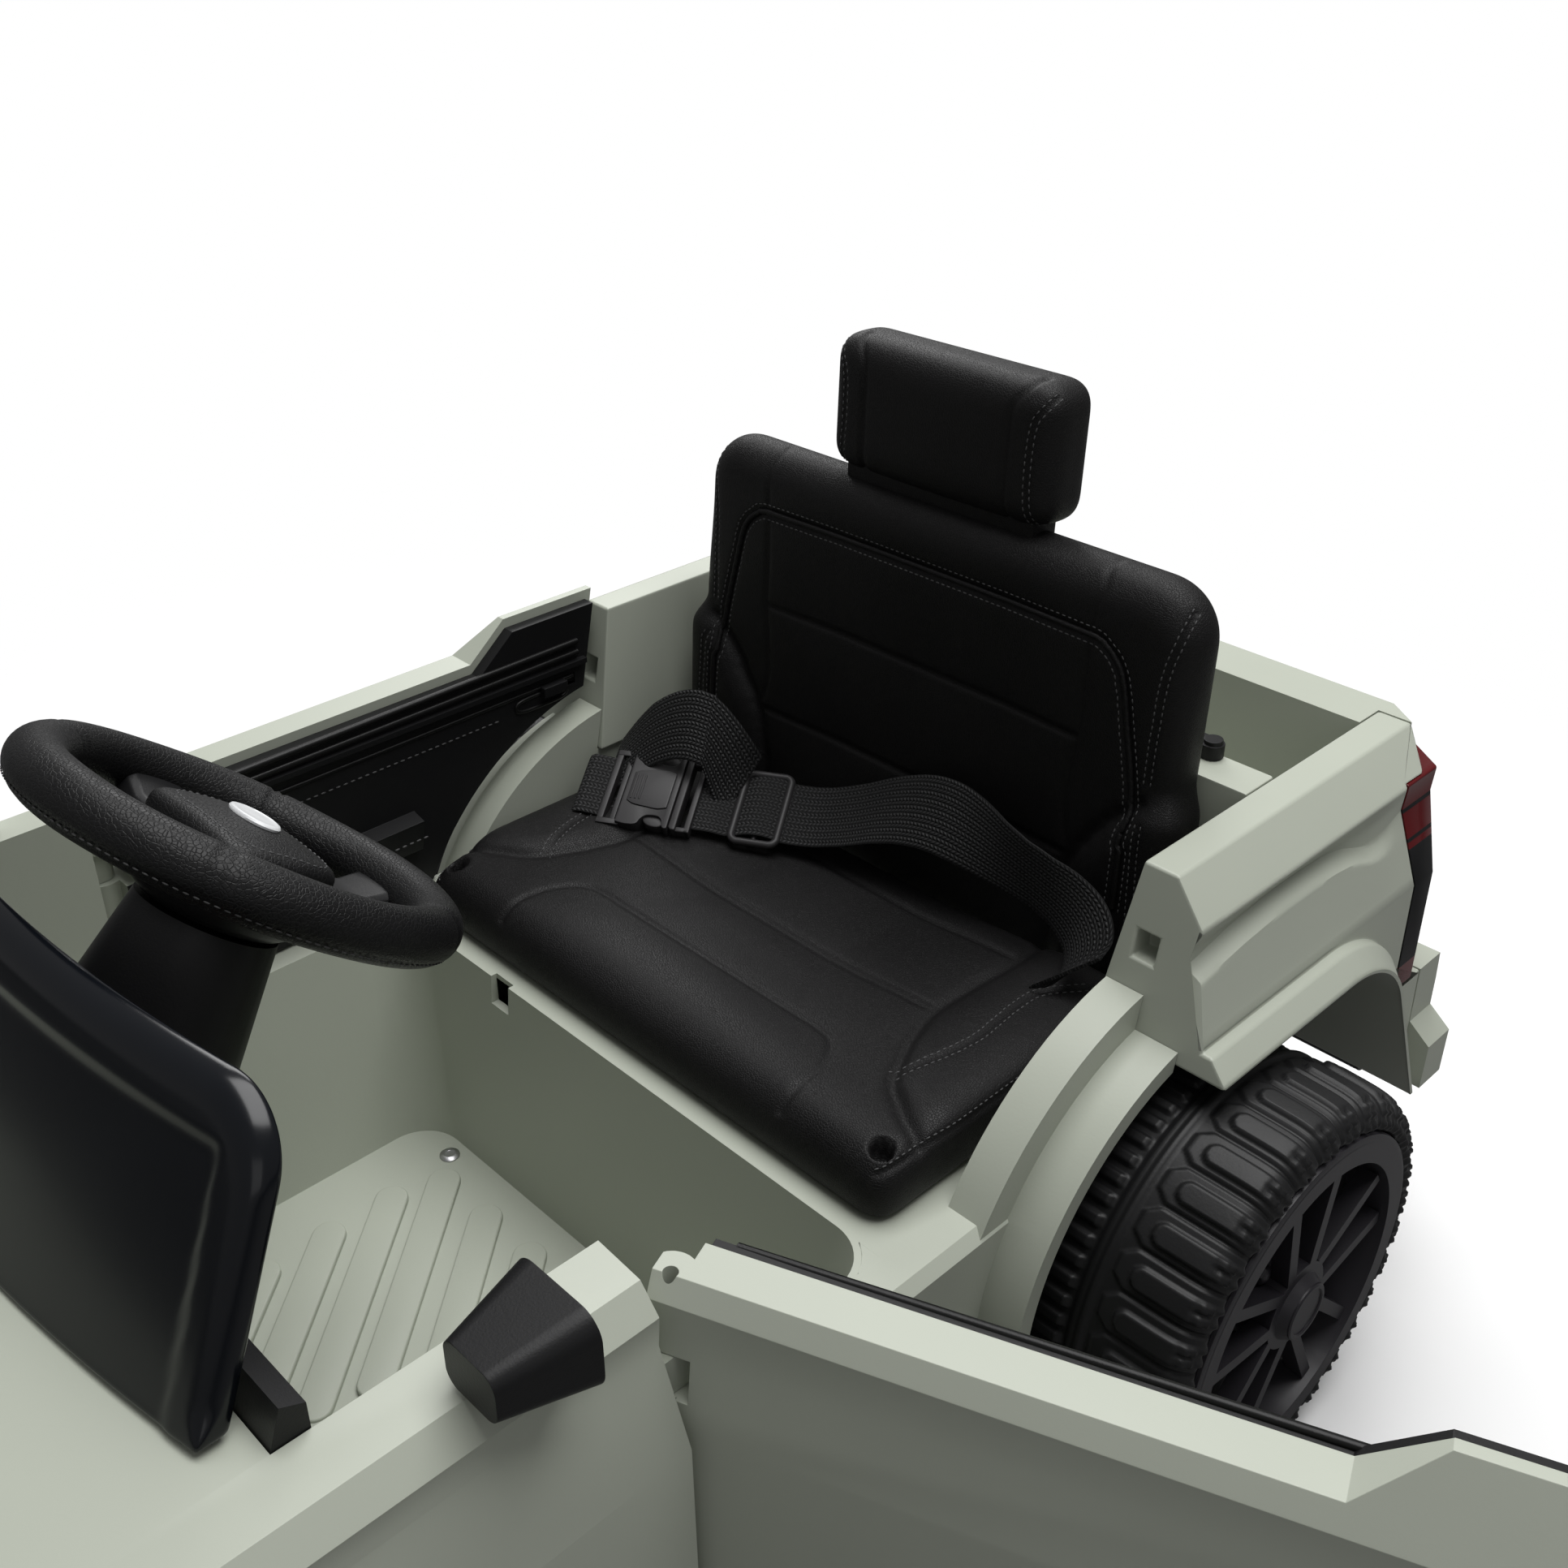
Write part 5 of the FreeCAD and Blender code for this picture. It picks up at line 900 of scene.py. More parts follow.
def oblong(low, high):
    return [(low[0], low[1]), (high[0], low[1]), (high[0], high[1]), (low[0], high[1])]


def ringGrid(rows, columns, closedRows):
    faces = []
    for i in range(rows if closedRows else rows - 1):
        for j in range(columns):
            k, n = (j + 1) % columns, (i + 1) % rows
            faces.append((i * columns + j, i * columns + k, n * columns + k, n * columns + j))
    return faces


def turnedMesh(name, profile, count, place, closed=False):  # profile of (radius, height), spun about the local height
    angles = np.linspace(0, 2 * math.pi, count, endpoint=False)
    points = [(r * math.cos(a), r * math.sin(a), h) for r, h in profile for a in angles]
    faces = ringGrid(len(profile), count, False)
    if closed:
        last = (len(profile) - 1) * count
        faces += [(last + j, last + (j + 1) % count, (j + 1) % count, j) for j in range(count)]
    else:
        faces += [list(range(count)), [(len(profile) - 1) * count + i for i in range(count)]]
    mesh = meshOf(name, place(np.array(points)), faces)
    outward(mesh)
    smoothByAngle(mesh, 40)
    return mesh


# tyres: one pitch of tread worked out as a height field, then spun round by a node tree

tyre = {"pitches": 32, "steps": 24, "across": 1.25, "crown": 99.4, "plate": 1.7, "tongue": 2.4, "sink": 2.2, "rib": 2.4}
tyreProfile = [(-46, 73.5), (-48.5, 77), (-48.8, 84), (-47.4, 91), (-43.5, 96), (-37, 98.2), (-20, 99.1), (0, 99.4),
               (20, 99.1), (37, 98.2), (43.5, 96), (47.2, 91.5), (48.6, 88), (48.4, 86.6), (46, 86.2)]


def softBox(value, half, soft):
    return 1 - smoothStep(half - soft, half + soft, np.abs(value))


# each box is (middle, half, softness) across the tread
treadPlan = {"plateHalf": 8.7, "tipHalf": 4.6, "tipFrom": 6.5, "tipSlope": 0.75, "plateFrom": (5.4, 6.8),
             "plateTo": (51, 55), "tongueFrom": 19.0, "tongueOff": 0.6, "tongueHalf": 4.9, "tongueTo": (47.5, 49.5),
             "notches": (42.5, 46.5), "notchHalf": 0.7, "notch": 0.35, "splitHalf": 0.9, "splitFrom": (41, 43),
             "split": 0.7, "nubAt": 52.5, "nubApart": 3.4, "nubOff": 0.3, "nubSpread": 3.6, "nub": 2.1,
             "floorBox": (-25, 19.5, 1.2), "ribHalf": 2.7, "ribBox": (-26, 17, 1.0),
             "rings": ((1.5, (1.0, 1.6, 0.7)), (0.9, (-46.5, 1.4, 0.8)))}


def acrossBox(s, box):
    return softBox(s - box[0], box[1], box[2])


def treadHeight(s, share):
    plan = treadPlan
    pitch = 2 * math.pi * tyre["crown"] / tyre["pitches"]
    a = share * pitch
    half = np.minimum(plan["plateHalf"], plan["tipHalf"] + np.maximum(s - plan["tipFrom"], 0) * plan["tipSlope"])
    plate = softBox(a, half, 0.5) * smoothStep(*plan["plateFrom"], s) * (1 - smoothStep(*plan["plateTo"], s))
    tongueFar = np.hypot(np.minimum(s - plan["tongueFrom"], 0), a + plan["tongueOff"])
    tongue = softBox(tongueFar, plan["tongueHalf"], 0.6) * (1 - smoothStep(*plan["tongueTo"], s))
    notch = sum(softBox(s - place, plan["notchHalf"], 0.5) for place in plan["notches"])
    split = softBox(a + plan["tongueOff"], plan["splitHalf"], 0.5) * smoothStep(*plan["splitFrom"], s)
    nubFar = (s - plan["nubAt"]) ** 2 + (np.abs(a + plan["nubOff"]) - plan["nubApart"]) ** 2
    raised = tyre["tongue"] * tongue * (1 - plan["split"] * split) * (1 - plan["notch"] * notch)
    outer = tyre["plate"] * plate + raised + plan["nub"] * np.exp(-nubFar / plan["nubSpread"])
    b = (np.mod(share * 2 + 0.5, 1) - 0.5) * pitch / 2
    rib = softBox(b, plan["ribHalf"], 0.7) * acrossBox(s, plan["ribBox"])
    inner = -tyre["sink"] * acrossBox(s, plan["floorBox"]) + tyre["rib"] * rib
    return outer + inner + sum(height * acrossBox(s, box) for height, box in plan["rings"])


def makeSpinTree():  # copies of one sector set round the X axis and joined
    tree, entry, leave = newShapeTree("spunCopies", [("Count", 8)], "NodeSocketInt", "Finish")
    spots = tree.nodes.new("GeometryNodePoints")
    index = tree.nodes.new("GeometryNodeInputIndex")
    share = tree.nodes.new("ShaderNodeMath")
    share.operation = "DIVIDE"
    turn = tree.nodes.new("ShaderNodeMath")
    turn.operation = "MULTIPLY"
    turn.inputs[1].default_value = 2 * math.pi
    angles = tree.nodes.new("ShaderNodeCombineXYZ")
    rotation = tree.nodes.new("FunctionNodeEulerToRotation")
    spread = tree.nodes.new("GeometryNodeInstanceOnPoints")
    real = tree.nodes.new("GeometryNodeRealizeInstances")
    weld = tree.nodes.new("GeometryNodeMergeByDistance")
    weld.inputs["Distance"].default_value = 0.00003
    paint = tree.nodes.new("GeometryNodeSetMaterial")
    link = tree.links.new
    link(entry.outputs["Count"], spots.inputs["Count"])
    link(index.outputs["Index"], share.inputs[0])
    link(entry.outputs["Count"], share.inputs[1])
    link(share.outputs[0], turn.inputs[0])
    link(turn.outputs[0], angles.inputs["X"])
    link(angles.outputs["Vector"], rotation.inputs["Euler"])
    link(spots.outputs["Points"], spread.inputs["Points"])
    link(entry.outputs["Geometry"], spread.inputs["Instance"])
    link(rotation.outputs["Rotation"], spread.inputs["Rotation"])
    link(spread.outputs["Instances"], real.inputs["Geometry"])
    link(real.outputs["Geometry"], weld.inputs["Geometry"])
    link(weld.outputs["Geometry"], paint.inputs["Geometry"])
    link(entry.outputs["Finish"], paint.inputs["Material"])
    link(paint.outputs["Geometry"], leave.inputs["Geometry"])
    return tree


spinTree = makeSpinTree()


def spun(name, mesh, count, material):  # the sector's copies as one plain mesh about the wheel's own centre
    obj = objectFrom(name + "Sector", mesh, material)
    copies = obj.modifiers.new("copies", "NODES")
    copies.node_group = spinTree
    setInputs(copies, spinTree, Count=count, Finish=material)
    result = baked(obj)
    bpy.data.objects.remove(obj)
    return result


def treadSector():
    line = smoothLine(tyreProfile, tyre["across"])
    run = runAlong(line)
    widest = int(np.argmax(line[:, 0]))
    s = run - np.interp(0, line[:widest, 0], run[:widest])
    along = np.gradient(line, axis=0)
    along /= np.linalg.norm(along, axis=1, keepdims=True)
    normal = np.column_stack([-along[:, 1], along[:, 0]])
    points, faces = [], []
    columns = tyre["steps"] + 1
    for share in np.linspace(-0.5, 0.5, columns):
        section = line + normal * treadHeight(s, np.full(len(s), share))[:, None]
        angle = share * 2 * math.pi / tyre["pitches"]
        around = [section[:, 1] * math.sin(angle), section[:, 1] * math.cos(angle)]
        points.append(np.column_stack([section[:, 0], *around]))
    wide = len(line)
    for i in range(columns - 1):
        for j in range(wide - 1):
            a, b = i * wide + j, (i + 1) * wide + j
            faces.append((a, a + 1, b + 1, b))
    return meshOf("treadSector", np.concatenate(points) * mm, faces)


wheelPlaces = {"front_left": (1, -290), "front_right": (-1, -290), "rear_left": (1, 290), "rear_right": (-1, 290)}
wheel = {"centreX": 228.0, "axleZ": 66.0, "nuts": 5, "nutRing": 31.0, "dishFloor": 33.0}
lipProfile = [(74, 36), (71.2, 38), (71.0, 43), (72.6, 46.6), (76, 49.2), (80, 50.4), (83.6, 50.8), (85.6, 50.2),
              (86.0, 48.6), (85.6, 44), (80, 40)]
capProfile = [(11.4, 50.6), (11.4, 53.2), (12.0, 53.8), (13.4, 53.8), (14.2, 53.2), (14.6, 50.6)]
nutProfile = [(0.6, 30), (6.2, 30), (6.4, 33.4), (5.4, 34), (4.7, 34.2), (4.7, 39.4), (3.9, 40.4), (1.6, 41.2),
              (0.6, 41.3)]


def onAxle(p, out=0.0):
    return np.column_stack([p[:, 2], p[:, 0], p[:, 1] + out]) * mm


def placedWheel(mesh, side, axleY, name):
    points = pointsOf(mesh)
    points[:, 0] *= side
    points += np.array((side * wheel["centreX"], axleY, wheel["axleZ"])) * mm
    copy = mesh.copy()
    copy.name = name
    setPoints(copy, points)
    outward(copy)
    shadeSmooth(copy)
    return copy


def nutSector():  # one wheel nut with its washer, set between two spokes
    around = math.pi / wheel["nuts"]
    nut = turnedMesh("wheelNut", nutProfile, 6, lambda p: onAxle(p, wheel["nutRing"]))
    points = pointsOf(nut)
    y, z = points[:, 1].copy(), points[:, 2].copy()
    points[:, 1] = y * math.cos(around) - z * math.sin(around)
    points[:, 2] = y * math.sin(around) + z * math.cos(around)
    setPoints(nut, points)
    return nut


def makeWheels():
    tread = spun("tread", treadSector(), tyre["pitches"], finish["rubber"])
    nuts = spun("wheelNuts", nutSector(), wheel["nuts"], finish["rim"])
    lip = turnedMesh("rimLip", lipProfile, 128, onAxle, True)
    cap = turnedMesh("capRing", capProfile, 64, onAxle, True)
    for label, (side, axleY) in wheelPlaces.items():
        obj = objectFrom("tyreTread_" + label, placedWheel(tread, side, axleY, "tyreTread_" + label), finish["rubber"])
        handIn(obj, "tyre_" + label)
        for name, mesh in (("rimLip_", lip), ("wheelNuts_", nuts), ("capRing_", cap)):
            piece = objectFrom(name + label, placedWheel(mesh, side, axleY, name + label), finish["rim"])
            smoothByAngle(piece.data, 35)
            rideWith(piece, "wheel_" + label)
    print("tyres spun with", len(tread.polygons), "faces each")


makeWheels()


# steering wheel: leather ring with creases and a seam, padded hub, three spokes

steering = {"centre": (0.0, -26.0, 322.0), "tilt": 51.5, "ring": 74.0, "tube": 10.8, "padTop": 4.9,
            "creases": (218, 322, 40, 140), "creaseApart": 1.8, "creaseDepth": 0.9, "seamTurn": -38.0, "seamDepth": 0.7,
            "groove": 0.9, "grip": 0.35, "gripCount": 3, "inset": 0.2, "ringRows": 280, "tubeColumns": 40}


def onColumn(p):
    tilt = math.radians(steering["tilt"])
    down = np.array((0, math.sin(tilt), -math.cos(tilt)))
    axis = np.array((0, math.cos(tilt), math.sin(tilt)))
    return (np.array(steering["centre"]) + p[:, :1] * np.array((1, 0, 0)) + p[:, 1:2] * down + p[:, 2:3] * axis) * mm


def ringPoint(turn, tube, radius):
    out = steering["ring"] + radius * np.cos(tube)
    return np.column_stack([out * np.cos(turn), out * np.sin(turn), radius * np.sin(tube)])


def offTurn(angle, degrees):  # signed angle from a place on the circle
    return np.mod(angle - math.radians(degrees) + math.pi, 2 * math.pi) - math.pi


def squaredLoop(halfU, halfV, powers, count):  # a closed line between an oval and an oblong
    turns = [(math.cos(a), math.sin(a)) for a in np.linspace(0, 2 * math.pi, count)]
    return [(halfU * np.sign(c) * abs(c) ** powers[0], halfV * np.sign(s) * abs(s) ** powers[1]) for c, s in turns]


def makeSteeringRing():
    rows, columns = steering["ringRows"], steering["tubeColumns"]
    turn = np.repeat(np.linspace(0, 2 * math.pi, rows, endpoint=False), columns)
    tube = np.tile(np.linspace(0, 2 * math.pi, columns, endpoint=False), rows)
    sunk = np.zeros(len(turn))
    for crease in steering["creases"]:
        for shift in (-steering["creaseApart"], steering["creaseApart"]):
            off = offTurn(turn, crease) * steering["ring"] - shift
            sunk = np.maximum(sunk, steering["creaseDepth"] * np.exp(-(off / steering["groove"]) ** 2))
    seam = offTurn(tube, steering["seamTurn"]) * steering["tube"]
    sunk = np.maximum(sunk, steering["seamDepth"] * np.exp(-(seam / steering["groove"]) ** 2))
    grip = steering["grip"] * (np.sin(turn * steering["gripCount"]) ** 2)
    points = onColumn(ringPoint(turn, tube, steering["tube"] - sunk + grip - steering["inset"]))
    mesh = meshOf("steeringRing", points, ringGrid(rows, columns, True))
    outward(mesh)
    shadeSmooth(mesh)
    return objectFrom("steeringRing", mesh, finish["wheelLeather"])


spokeSections = [  # reach from the middle, half width, low and high level
    (15, 17, -19, -6.5), (26, 15, -18.5, -6.2), (40, 12.5, -17.5, -6), (54, 12.5, -15, -5), (66, 14, -9, 1.5),
    (72, 15, -7, 3)]
spokeOutline = [(-1, 0.2), (-0.93, 0.0), (0.93, 0.0), (1, 0.2), (0.96, 0.8), (0.75, 1.0), (-0.75, 1.0), (-0.96, 0.8)]
hubProfile = [(9, -27.6), (22, -27.6), (27, -26.6), (32, -23), (34.6, -17), (34.6, -10), (33, -6.8), (30, -5.8),
              (9, -5.8)]


def spokeMesh():
    points, faces = [], []
    size, last = len(spokeOutline), len(spokeSections) - 1
    for angle in (0, math.pi, math.pi / 2):
        start = len(points)
        for reach, half, low, high in spokeSections:
            for across, share in spokeOutline:
                n = low + (high - low) * share
                x, y = reach, across * half
                points.append((x * math.cos(angle) - y * math.sin(angle), x * math.sin(angle) + y * math.cos(angle), n))
        for i in range(last):
            a, b = start + i * size, start + (i + 1) * size
            for j in range(size):
                k = (j + 1) % size
                faces.append((a + j, a + k, b + k, b + j))
        faces.append([start + j for j in range(size)])
        faces.append([start + last * size + j for j in range(size)])
    mesh = meshOf("steeringSpokes", onColumn(np.array(points)), faces)
    outward(mesh)
    return mesh


hornPad = {"step": 2.4, "swell": 6.0, "half": 35, "middleV": 1, "halfV": 26, "seamHalf": (28.5, 20.5), "square": 0.45,
           "stitch": {"spacing": 3.2, "length": 2.1, "radius": 0.4}, "plateDepth": 5.0, "plateOval": 0.66}
plateProfile = [(0.2, -1.2), (11.2, -1.2), (12.4, -0.6), (12.6, 0.2), (12.0, 0.9), (10.6, 1.2), (9.8, 0.9), (5, 1.15),
                (0.2, 1.25)]
ringStitch = {"spacing": 3.4, "length": 2.3, "radius": 0.36}


def padSwell(p):
    u = np.clip(p[:, 0] / hornPad["half"], -1, 1)
    v = np.clip((p[:, 1] - hornPad["middleV"]) / hornPad["halfV"], -1, 1)
    return hornPad["swell"] * np.cos(u * 1.5) * np.cos(v * 1.5)


padForm = {"half": lambda v: 35.0 - 5.0 * smoothStep(-4, 26, v), "low": -25.0, "high": 27.0, "corner": 12.0,
           "face": 0.8, "back": 9.0, "waist": 6.0, "roundFace": lambda p: 4.6 + 0 * p[:, 0], "roundBack": 1.2,
           "swell": padSwell}


def placePad(p):
    return onColumn(np.column_stack([p[:, 0], p[:, 1], steering["padTop"] - p[:, 2]]))


def placePlate(p):
    return placePad(np.column_stack([p[:, 0], p[:, 1] * hornPad["plateOval"], -hornPad["plateDepth"] - p[:, 2]]))


def smoothPanel(name, form, step, place, material):  # a rounded panel with no seams
    points, faces = padShell(form, step)
    obj = objectFrom(name, meshOf(name, place(points), faces), material)
    outward(obj.data)
    refine(obj, 1)
    shadeSmooth(obj.data)
    return obj


def makeHornPad():
    pad = smoothPanel("hornPadCover", padForm, hornPad["step"], placePad, finish["wheelLeather"])
    tree = treeOf(pad.data)
    handIn(pad, "horn_pad")
    edge = [(u, hornPad["middleV"] + v, 0) for u, v in squaredLoop(*hornPad["seamHalf"], (hornPad["square"],) * 2, 64)]
    seam = onSurface(tree, placePad(smoothLine(edge)))
    stitchRows("hornPadStitches", [seam], "horn_pad", "black_trim", **hornPad["stitch"])
    oval = turnedMesh("hornPadPlate", plateProfile, 48, placePlate)
    rideWith(objectFrom("hornPadPlate", oval, finish["silver"]), "horn_pad")


def makeSteeringWheel():
    ring = makeSteeringRing()
    handIn(ring, "steering_wheel")
    spokes = objectFrom("steeringSpokes", spokeMesh(), finish["black"])
    softenEdges(spokes, 0.0022, 3, 25)
    smoothByAngle(spokes.data, 50)
    rideWith(spokes, "steering")
    hub = objectFrom("steeringHub", turnedMesh("steeringHub", hubProfile, 64, onColumn), finish["black"])
    rideWith(hub, "steering")
    makeHornPad()
    turn = np.linspace(0, 2 * math.pi, 460)
    seam = onColumn(ringPoint(turn, np.full(len(turn), math.radians(steering["seamTurn"])), steering["tube"] - 0.1))
    stitchRows("steeringSeam", [seam], "steering", "black_trim", **ringStitch)
    print("steering wheel made")


makeSteeringWheel()


# buckle and slide on the lap belt

buckle = {"x": -115.2, "y": 257.5, "z": 176.0, "heading": 31.0, "tilt": 25.0, "edge": 0.8, "glideOffset": 60.0,
          "glideHalf": (8.2, 17.6), "glideCorner": 4.2, "glideWire": 2.1, "barHalf": 21, "barWire": 1.5}
socketSide = [(-15, 23), (-10, 23.8), (-5, 23.6), (-2.6, 22.2), (-1.6, 19.6), (0.6, 17.2), (4, 16.4), (8, 16.8),
              (10, 19), (11, 22.4), (12.6, 23.6), (14, 23.2)]
tongueSide = [(-12, 9), (-8, 11), (0, 12), (6, 12.4), (11, 11)]
prongLoop = [(-1, 17.4), (0, 20), (3, 22), (7, 22.6), (10, 21.6), (12, 19), (13, 16), (6, 15.4), (0.4, 15.6), (-1, 17.4)]
plugSide = [(14.4, 21.6), (16, 23), (18.4, 23)]


def onBelt(p, offset=0.0):
    tilt, heading = math.radians(buckle["tilt"]), math.radians(buckle["heading"])
    u = p[:, 0] + offset
    v = p[:, 1] * math.cos(tilt) - p[:, 2] * math.sin(tilt)
    w = p[:, 1] * math.sin(tilt) + p[:, 2] * math.cos(tilt)
    return np.column_stack([buckle["x"] + u * math.cos(heading) - v * math.sin(heading),
                            buckle["y"] + u * math.sin(heading) + v * math.cos(heading), buckle["z"] + w]) * mm


def mirroredOutline(half):  # an outline given along its +v side, closed by its mirror image
    side = [tuple(point) for point in smoothLine(half, 1.2)]
    return side + [(u, -v) for u, v in reversed(side)]


def makeTriGlide():
    wide, high, corner = *buckle["glideHalf"], buckle["glideCorner"]
    around = []
    for angle in np.linspace(0.01, 2 * math.pi + 0.01, 60, endpoint=False):
        c, s = math.cos(angle), math.sin(angle)
        around.append((math.copysign(wide, c) + corner * c, math.copysign(high, s) + corner * s, 0.3))
    loop = curveThrough("glideLoop", [onBelt(np.array(around), buckle["glideOffset"])], buckle["glideWire"] * mm, True)
    obj = madeMesh(loop, "triGlide", finish["satin"], "car")
    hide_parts("tri_glide")
    across = np.linspace(-buckle["barHalf"], buckle["barHalf"], 9)
    bar = onBelt(np.array([(0, v, -0.9) for v in across]), buckle["glideOffset"])
    pipe("triGlideBar", [bar], buckle["barWire"], "car", finish["satin"])


def makeBuckle():
    socket = [(mirroredOutline(socketSide), -3.6, 5.4), (mirroredOutline(tongueSide), 5.0, 6.2)]
    socket += [(oblong((-26, -24), (-13, -20.6)), -2.6, 3.6), (oblong((-26, 20.6), (-13, 24)), -2.6, 3.6)]
    socket += [(oblong((-26, -24), (-22.6, 24)), -2.6, 3.4), (oblong((-19.4, -21), (-16.4, 21)), -2.4, 2.2)]
    socket += [(oblong((-13 + 2.4 * i, -8), (-12 + 2.4 * i, 8)), 6.0, 6.7) for i in range(1, 4)]
    handIn(plates("buckleSocket", socket, onBelt, finish["satin"], buckle["edge"]), "buckle_socket")
    prong = smoothLine(prongLoop, 1.5)[:-1]
    plug = [([tuple(point) for point in prong], -2.4, 3.8), ([(u, -v) for u, v in reversed(prong)], -2.4, 3.8)]
    plug += [(mirroredOutline(plugSide), -3.0, 4.6)]
    frameBars = (((18, -23), (25.6, -20)), ((18, 20), (25.6, 23)), ((22.4, -23), (25.8, 23)))
    plug += [(oblong(low, high), -2.2, 3.2) for low, high in frameBars]
    handIn(plates("bucklePlug", plug, onBelt, finish["satin"], buckle["edge"]), "buckle_plug")
    makeTriGlide()
    print("buckle made")


makeBuckle()


# windshield: a bowed panel with a thick rounded frame round a sunk middle

shield = {"baseHalf": 171.0, "topHalf": 157.0, "baseY": -147.0, "topY": -103.0, "lowZ": 254.3, "topZ": 340.0,
          "bow": 17.0, "frame": 15.0, "sunk": 0.9, "frameSoft": 1.2, "step": 2.2}
shieldSpan = math.hypot(shield["topY"] - shield["baseY"], shield["topZ"] - shield["lowZ"])


def shieldHalf(v):
    return shield["baseHalf"] + (shield["topHalf"] - shield["baseHalf"]) * v / shieldSpan


def shieldSwell(p):
    fromEdge = np.minimum(shieldHalf(p[:, 1]) - np.abs(p[:, 0]), shieldSpan - p[:, 1])
    return -shield["sunk"] * smoothStep(-shield["frameSoft"], shield["frameSoft"], fromEdge - shield["frame"])


shieldForm = {"half": shieldHalf, "low": 0.0, "high": shieldSpan, "corner": 26.0, "footCorner": 1.5,
              "face": 0.0, "back": 12.0, "waist": 6.5, "roundBack": 4.0, "swell": shieldSwell,
              "roundFace": lambda p: 5.4 * smoothStep(0, 12, p[:, 1]) + 0.8}


def placeShield(p):
    share = p[:, 1] / shieldSpan
    bow = shield["bow"] * (1 - (p[:, 0] / shieldHalf(p[:, 1])) ** 2)
    y = shield["baseY"] + (shield["topY"] - shield["baseY"]) * share - bow + p[:, 2]
    return np.column_stack([p[:, 0], y, shield["lowZ"] + (shield["topZ"] - shield["lowZ"]) * share]) * mm


handIn(smoothPanel("windshieldPanel", shieldForm, shield["step"], placeShield, finish["shield"]), "windshield")
print("windshield made")


# door trim, drawn on the closed left door and carried over to both doors

doorTrim = {"innerX": 182.0, "openTurn": -68.0, "hinge": (205.0, -6.0), "step": 2.0, "ridge": 1.9, "bead": 1.1,
            "slotAt": (236, 217.2), "slotHalf": (17, 3.6), "slotSquare": (0.5, 0.7),
            "stitch": {"spacing": 4.2, "length": 2.8, "radius": 0.5}}
# from y, to y, from z, to z, height off the panel
doorLines = {"ridges": [(6, 262, 241.5, 243.5, 0.2), (6, 262, 235.5, 237, 0.2)], "beads": [(6, 258, 223, 224, 0.1)],
             "stitches": [(16, 206, 213, 214, 0.1), (12, 146, 174.5, 174.5, 15.2)]}


def onDoor(points, side):
    p = np.array(points, float)
    if side > 0:
        turn = math.radians(doorTrim["openTurn"])
        dx, dy = p[:, 0] - doorTrim["hinge"][0], p[:, 1] - doorTrim["hinge"][1]
        p[:, 0] = doorTrim["hinge"][0] + dx * math.cos(turn) - dy * math.sin(turn)
        p[:, 1] = doorTrim["hinge"][1] + dx * math.sin(turn) + dy * math.cos(turn)
    else:
        p[:, 0] *= -1
    return p * mm


def straight(y0, y1, z0, z1, out):
    count = max(2, round((y1 - y0) / doorTrim["step"]))
    share = np.linspace(0, 1, count)
    return np.column_stack([np.full(count, doorTrim["innerX"] - out), y0 + (y1 - y0) * share, z0 + (z1 - z0) * share])


def makeDoorTrim(side):
    label = "Left" if side > 0 else "Right"
    body = "door_left" if side > 0 else "door_right"
    ridges, beads, rows = ([onDoor(straight(*line), side) for line in lines] for lines in doorLines.values())
    pipe("doorRidges" + label, ridges, doorTrim["ridge"], body, finish["panel"])
    slotY, slotZ = doorTrim["slotAt"]
    slot = [(doorTrim["innerX"] - 0.2, slotY + u, slotZ + v)
            for u, v in squaredLoop(*doorTrim["slotHalf"], doorTrim["slotSquare"], 80)]
    pipe("doorBeads" + label, beads + [onDoor(slot, side)], doorTrim["bead"], body, finish["panel"])
    stitchRows("doorStitches" + label, rows, body, "black_trim", **doorTrim["stitch"])


for doorSide in (1, -1):
    makeDoorTrim(doorSide)
print("door trim made")


# cabin floor: round-ended ribs over the CAD ones and a screw; small fillers where pieces meet

floorRibs = {"half": 8.6, "low": 10.5, "high": 15.2, "angle": 42.0, "run": 150.0, "frontY": -110.0, "sideX": 118.0,
             "apart": 37, "edge": 1.1}
floorScrew = {"place": (-118, 108, 12.2),
              "profile": [(5.4, -0.8), (5.4, 0.6), (4.6, 1.3), (3.2, 1.7), (2.8, 1.0), (0.5, 0.9)]}
sillCorner = {"low": 129.5, "high": 133.95,
              "outline": [(159, 130.5), (161.5, 128.6), (166, 125), (169.3, 121), (171.5, 117), (174, 115),
                          (174, 130.5)]}
bedFoot = {"low": 166.5, "high": 180.2, "outline": oblong((166.9, 285), (168.8, 452))}  # the bed's side above the arch
headNeck = {"low": 12.0, "high": 30.0, "outline": oblong((-59, 206), (59, 230))}  # joins the headrest to the backrest


def ribOutline(endX, endY):
    turn = math.radians(floorRibs["angle"])
    back = np.array((math.sin(turn), -math.cos(turn)))
    aside = np.array((-back[1], back[0]))
    tip = np.array((endX, endY))
    reach = min(floorRibs["run"], (floorRibs["frontY"] - endY) / back[1], (floorRibs["sideX"] - endX) / back[0])
    ends = [(tip + back * floorRibs["half"], math.pi), (tip + back * (reach - floorRibs["half"]), 0)]
    outline = []
    for centre, start in ends:
        for angle in np.linspace(start - math.pi / 2, start + math.pi / 2, 11):
            outline.append(tuple(centre + floorRibs["half"] * (back * math.cos(angle) + aside * math.sin(angle))))
    return outline


def pairOf(form):  # the form and its mirror image across the car
    return [(outline, form["low"], form["high"]) for outline in (form["outline"], mirrored(form["outline"]))]


